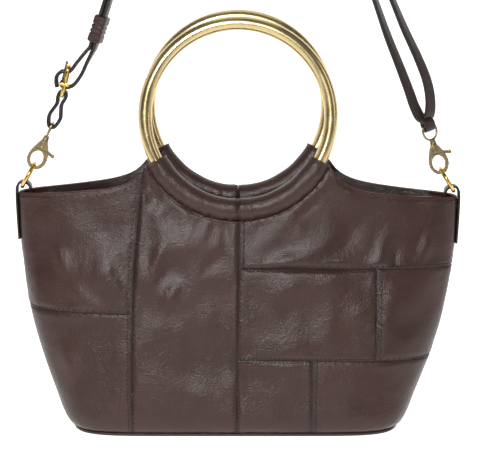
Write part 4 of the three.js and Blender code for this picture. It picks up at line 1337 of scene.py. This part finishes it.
class BAG_OT_stitching(bpy.types.Operator):
    """The rows of stitches beside the seams, under the rim and round the sleeve ends"""

    bl_idname = "bag.stitching"
    bl_label = "Stitching"

    def execute(self, context):
        look = context.scene.bag_leather
        pitch = look.stitch_gap
        inset = look.seam_inset
        rows = {"patch": [], "rim": [], "back": [], "sleeve": [], "crease": []}
        seams = {
            "patch_left_top": "rb",
            "patch_left_low": "rt",
            "patch_centre": "lr",
            "patch_right_top": "lb",
            "patch_right_mid": "lrbt",
            "patch_right_side": "lbt",
            "patch_low_inner": "lrt",
            "patch_low_outer": "lt",
        }
        for name, sides in seams.items():
            panel = front_panel(name)
            for side in sides:
                rows["patch"] += panel.stitches(side, inset, pitch)
        turn = share_at(front_panel("patch_right_top"), sleeve_end_x + 2)
        rims = {
            "patch_left_top": (0, 1, 0, 0),
            "patch_centre": (0, 0, 0, 1),
            "patch_right_top": (turn, 1, 0, turn),
        }
        for name, (start, end, low, high) in rims.items():
            panel = front_panel(name)
            rows["rim"] += panel.stitches("t", RIM_STITCH_INSET, pitch, start, end)
            rows["crease"] += panel.stitches("t", CREASE_STITCH_INSET, pitch * CREASE_PITCH, low, high)
        rear = back_panel()
        ends = (share_at(rear, -sleeve_end_x - 2), share_at(rear, sleeve_end_x + 2))
        rows["back"] += rear.stitches("t", RIM_STITCH_INSET, pitch, 0, ends[0])
        rows["back"] += rear.stitches("t", RIM_STITCH_INSET, pitch, ends[1], 1)
        rows["back"] += rear.stitches("t", CREASE_STITCH_INSET, pitch * CREASE_PITCH, *ends)
        long = sleeve_length()
        for face in (FRONT, BACK):
            for side in (-1, 1):
                for along in (1.6, long - 3):
                    for k in range(SLEEVE_STITCHES):
                        share = (k + 0.5) / SLEEVE_STITCHES
                        turn = math.radians(SLEEVE_STITCH_START + SLEEVE_STITCH_SPAN * share)
                        point = sleeve_place(face, side, along, turn)
                        ahead = sleeve_place(face, side, along, turn + 0.05)
                        rows["sleeve"].append((point, (ahead - point).normalized()))
        for name, places in rows.items():
            sew(f"{name}_stitches", places)
        return {"FINISHED"}


class BAG_OT_tabs(bpy.types.Operator):
    """The side tabs and the bright O-rings that they hold"""

    bl_idname = "bag.tabs"
    bl_label = "Tabs and O-rings"

    def execute(self, context):
        for place in SIDES:
            side = place["side"]
            hand = place["name"]
            tab = band(f"tab_{hand}_leather", run_through(tab_route(side), 6), TAB_WIDTH, TAB_LEATHER)
            dress(tab, "dark_leather", f"tab_{hand}")
            clasp = CLASPS[hand]
            turned = Euler((0, -side * clasp["tilt"], 0)).to_matrix()

            def turn_to(x, y, z, clasp=clasp, turned=turned):
                return to_row(clasp["middle"] + turned @ Vector((z, x, y)))

            ring = torus(f"o_ring_{hand}_metal", o_ring_radius, O_RING_WIRE / 2, 64, 16, turn_to)
            dress(ring, "bright_gold", f"o_ring_{hand}")
        return {"FINISHED"}


class BAG_OT_clasps(bpy.types.Operator):
    """The cast swivel clasps, with their gates and eyes"""

    bl_idname = "bag.clasps"
    bl_label = "Clasps"

    def execute(self, context):
        for hand in ("left", "right"):
            casts = (
                ("clasp", "bag", 0.0003),
                ("clasp_gate", f"gate_{hand}", 0.00025),
                ("clasp_eye", "bag", 0.00025),
            )
            for node, body, grain in casts:
                name = f"{node}_{hand}"
                piece = cast_copy(name, name + "_metal", grain)
                dress(piece, "antique_brass", name, body=body)
        return {"FINISHED"}


class BAG_OT_strap(bpy.types.Operator):
    """The doubled strap, its keeper and the short loop"""

    bl_idname = "bag.strap"
    bl_label = "Strap"

    def execute(self, context):
        strap = band("strap_leather", run_through(strap_route(), 8), STRAP_WIDTH, STRAP_LEATHER)
        dress(strap, "dark_leather", "strap")
        stations = run_through(short_loop_route(), 8, True)
        loop = band("strap_short_loop_leather", stations, STRAP_WIDTH, STRAP_LEATHER, True)
        dress(loop, "dark_leather", "strap_short_loop")
        wide = STRAP_WIDTH / 2 + TOUCH_GAP
        deep = STRAP_LEATHER + STRAP_LAYER_GAP / 2 + TOUCH_GAP
        steps = 48
        half = KEEPER_LENGTH / 2
        places = [-half + KEEPER_LENGTH * k / steps for k in range(steps + 1)]
        sides = 40

        def place(i, j):
            inner = i > steps
            at = places[2 * steps + 1 - i] if inner else places[i]
            turn = 2 * math.pi * (j + 0.5) / sides
            grown = 0.05 if inner else KEEPER_LEATHER * 0.92
            if not inner:
                groove = sum(bump_at(at - spot, 0.55) for spot in KEEPER_GROOVES)
                grown += 0.12 - 0.8 * groove - 0.7 * bump_at(half - abs(at), 0.6)
            a = math.copysign(abs(math.cos(turn)) ** 0.35, math.cos(turn)) * (wide + grown)
            b = math.copysign(abs(math.sin(turn)) ** 0.35, math.sin(turn)) * (deep + grown)
            return to_row(keeper_middle + keeper_run * at + keeper_across * a + keeper_stack * b)

        keeper = surface("strap_keeper_leather", 2 * steps + 2, sides, place, around=True, closed=True)
        dress(keeper, "leather", "strap_keeper")
        return {"FINISHED"}


class BAG_OT_buckle(bpy.types.Operator):
    """The oval buckle with its bar, cross piece and prong"""

    bl_idname = "bag.buckle"
    bl_label = "Buckle"

    def execute(self, context):
        long = (BUCKLE_LENGTH - BUCKLE_WIRE) / 2
        wide = (BUCKLE_WIDTH - BUCKLE_WIRE) / 2
        quarter = ((wide, 0), (wide, 0.75 * long), (0.78 * wide, long), (0, long))
        route = list(quarter) + [(-y, z) for y, z in reversed(quarter[:3])]
        route += [(-y, -z) for y, z in quarter[1:]] + [(y, -z) for y, z in reversed(quarter[1:3])]
        rows = [(at_buckle(0, z, y), buckle_right) for y, z in route]
        hoop = wire("buckle_hoop", run_through(rows, 6, True), BUCKLE_WIRE, 14, True)
        reach = BUCKLE_WIDTH / 2 - 0.5
        bar_rows = [(at_buckle(0, -BUCKLE_BAR_DROP, y), buckle_right) for y in (-reach, 0, reach)]
        bar = wire("buckle_bar", run_through(bar_rows, 4), BUCKLE_BAR, 14)
        front = -BUCKLE_WIDTH / 2 + 0.4
        ends = (-BUCKLE_CROSS / 2, 0, BUCKLE_CROSS / 2)
        cross_rows = [(at_buckle(x, -BUCKLE_BAR_DROP, front), BACKWARDS) for x in ends]
        cross = band("buckle_cross", run_through(cross_rows, 4), 1.6, 2.2)
        buckle = join([hoop, bar, cross], "buckle_frame_metal")
        dress(buckle, "bright_gold", "buckle_frame")
        hold = BUCKLE_BAR / 2 + TOUCH_GAP + PRONG_WIRE / 2
        beside = BUCKLE_WIRE / 2 + TOUCH_GAP + PRONG_WIRE / 2
        hook = round_bar(hold, (330, 285, 235, 190))
        path = hook + [(-beside, long * 0.45), (-beside, long), (-beside * 0.95, long + 2.6)]
        stations = run_through([(at_buckle(x, z), BACKWARDS) for x, z in path], 5)
        stem = wire("prong_stem", stations, PRONG_WIRE, 12)
        mesh = bmesh.new()
        bmesh.ops.create_uvsphere(mesh, u_segments=16, v_segments=10, radius=PRONG_TIP / 2 * MM)
        bmesh.ops.translate(mesh, vec=to_row(stations[-1][0]), verts=mesh.verts)
        prong = join([stem, finish_mesh("prong_tip", mesh)], "buckle_prong_metal")
        dress(prong, "antique_brass", "buckle_prong")
        return {"FINISHED"}


class BAG_OT_studio(bpy.types.Operator):
    """The pale floor that sweeps up behind the bag, the soft lights and the camera"""

    bl_idname = "bag.studio"
    bl_label = "Studio"

    def execute(self, context):
        light = context.scene.bag_light
        floor_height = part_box("base_panel")[0].z - 0.0002
        steps = 40

        def sweep(i, j):
            x = mix(-7, 7, i / 4)
            share = j / steps
            if share < 0.4:
                return Vector((x, mix(-3, 1.4, share / 0.4), floor_height))
            if share < 0.8:
                turn = (share - 0.4) / 0.4 * math.pi / 2
                return Vector((x, 1.4 + 1.2 * math.sin(turn), floor_height + 1.2 * (1 - math.cos(turn))))
            return Vector((x, 2.6, floor_height + mix(1.2, 4.5, (share - 0.8) / 0.2)))

        floor = surface("studio_sweep", 4, steps, sweep)
        paper = Finish("White paper")
        fibre = paper.cloud(0.004, 3, 0.6)
        paper.set(Base_Color=paper.tint(fibre, (0.9, 0.9, 0.9, 1), (0.93, 0.93, 0.93, 1)), Roughness=0.9)
        depth = paper.node("ShaderNodeSeparateXYZ", inputs={"Vector": paper.place()}, output=1)
        behind = paper.stretch(-0.45, -0.15, depth)
        glow = paper.tint(behind, (0, 0, 0, 1), (1, 1, 1, 1))
        paper.set(Emission_Color=glow, Emission_Strength=0.8)
        floor.data.materials.append(paper.material)
        world = bpy.data.worlds.new("White room")
        world.use_nodes = True
        tree = world.node_tree
        place = tree.nodes.new("ShaderNodeTexCoord")
        parts = tree.nodes.new("ShaderNodeSeparateXYZ")
        ramp = tree.nodes.new("ShaderNodeValToRGB")
        ramp.color_ramp.elements[0].position = 0.42
        ramp.color_ramp.elements[0].color = (0.16, 0.16, 0.16, 1)
        ramp.color_ramp.elements[1].position = 0.72
        ramp.color_ramp.elements[1].color = (1, 1, 1, 1)
        shift = tree.nodes.new("ShaderNodeMath")
        shift.operation = "MULTIPLY_ADD"
        shift.inputs[1].default_value = 0.5
        shift.inputs[2].default_value = 0.5
        tree.links.new(place.outputs["Generated"], parts.inputs[0])
        tree.links.new(parts.outputs["Z"], shift.inputs[0])
        tree.links.new(shift.outputs[0], ramp.inputs[0])
        tree.links.new(ramp.outputs[0], tree.nodes["Background"].inputs[0])
        tree.nodes["Background"].inputs[1].default_value = light.room
        context.scene.world = world
        middle = Vector((0, 0, -0.3))
        lamps = (
            ("Key", (-0.25, -1.45, 0.42), 0.3, 0.3, light.key),
            ("Side", (1.5, -0.7, 0.25), 0.5, 1.0, light.fill),
            ("Far side", (-1.5, 0.1, 0.2), 0.5, 1.0, light.fill * 0.8),
            ("Top", (0.1, 0.35, 1.3), 1.2, 0.6, light.fill * 0.9),
        )
        for name, spot, wide, tall, power in lamps:
            lamp = bpy.data.lights.new(name, "AREA")
            lamp.shape = "RECTANGLE"
            lamp.size = wide
            lamp.size_y = tall
            lamp.energy = power
            holder = bpy.data.objects.new(name, lamp)
            holder.location = spot
            holder.rotation_euler = (middle - Vector(spot)).to_track_quat("-Z", "Y").to_euler()
            context.collection.objects.link(holder)
        camera = bpy.data.cameras.new("Camera")
        camera.lens = 129.75
        camera.sensor_width = 36
        camera.sensor_fit = "HORIZONTAL"
        holder = bpy.data.objects.new("Camera", camera)
        holder.location = (0.0015, -1.3022, -0.0426)
        holder.rotation_euler = (math.radians(90 - 12.5), 0, 0)
        context.collection.objects.link(holder)
        context.scene.camera = holder
        context.scene.view_settings.view_transform = "Standard"
        return {"FINISHED"}


class BAG_PT_panel(bpy.types.Panel):
    """The bag's sizes, colours and pieces"""

    bl_idname = "BAG_PT_panel"
    bl_label = "Crossbody bag"
    bl_space_type = "VIEW_3D"
    bl_region_type = "UI"
    bl_category = "Bag"

    def draw(self, context):
        for group in (context.scene.bag_leather, context.scene.bag_colours, context.scene.bag_light):
            box = self.layout.box()
            for name in group.bl_rna.properties.keys():
                if name not in ("rna_type", "name"):
                    box.prop(group, name)
        for piece in PIECES:
            self.layout.operator(piece.bl_idname)


PIECES = (
    BAG_OT_front_patches,
    BAG_OT_back_and_base,
    BAG_OT_rim_facings,
    BAG_OT_ring_handles,
    BAG_OT_sleeves,
    BAG_OT_stitching,
    BAG_OT_tabs,
    BAG_OT_clasps,
    BAG_OT_strap,
    BAG_OT_buckle,
    BAG_OT_studio,
)
CLASSES = (BagLeather, BagColours, BagLight, *PIECES, BAG_PT_panel)


def register():
    for cls in CLASSES:
        bpy.utils.register_class(cls)
    bpy.types.Scene.bag_leather = PointerProperty(type=BagLeather)
    bpy.types.Scene.bag_colours = PointerProperty(type=BagColours)
    bpy.types.Scene.bag_light = PointerProperty(type=BagLight)


def unregister():
    del bpy.types.Scene.bag_light
    del bpy.types.Scene.bag_colours
    del bpy.types.Scene.bag_leather
    for cls in reversed(CLASSES):
        bpy.utils.unregister_class(cls)


def main():
    register()
    bpy.ops.bag.front_patches()
    bpy.ops.bag.back_and_base()
    bpy.ops.bag.rim_facings()
    bpy.ops.bag.ring_handles()
    bpy.ops.bag.sleeves()
    bpy.ops.bag.stitching()
    bpy.ops.bag.tabs()
    bpy.ops.bag.clasps()
    bpy.ops.bag.strap()
    bpy.ops.bag.buckle()
    bpy.ops.bag.studio()


if __name__ == "__main__":
    main()
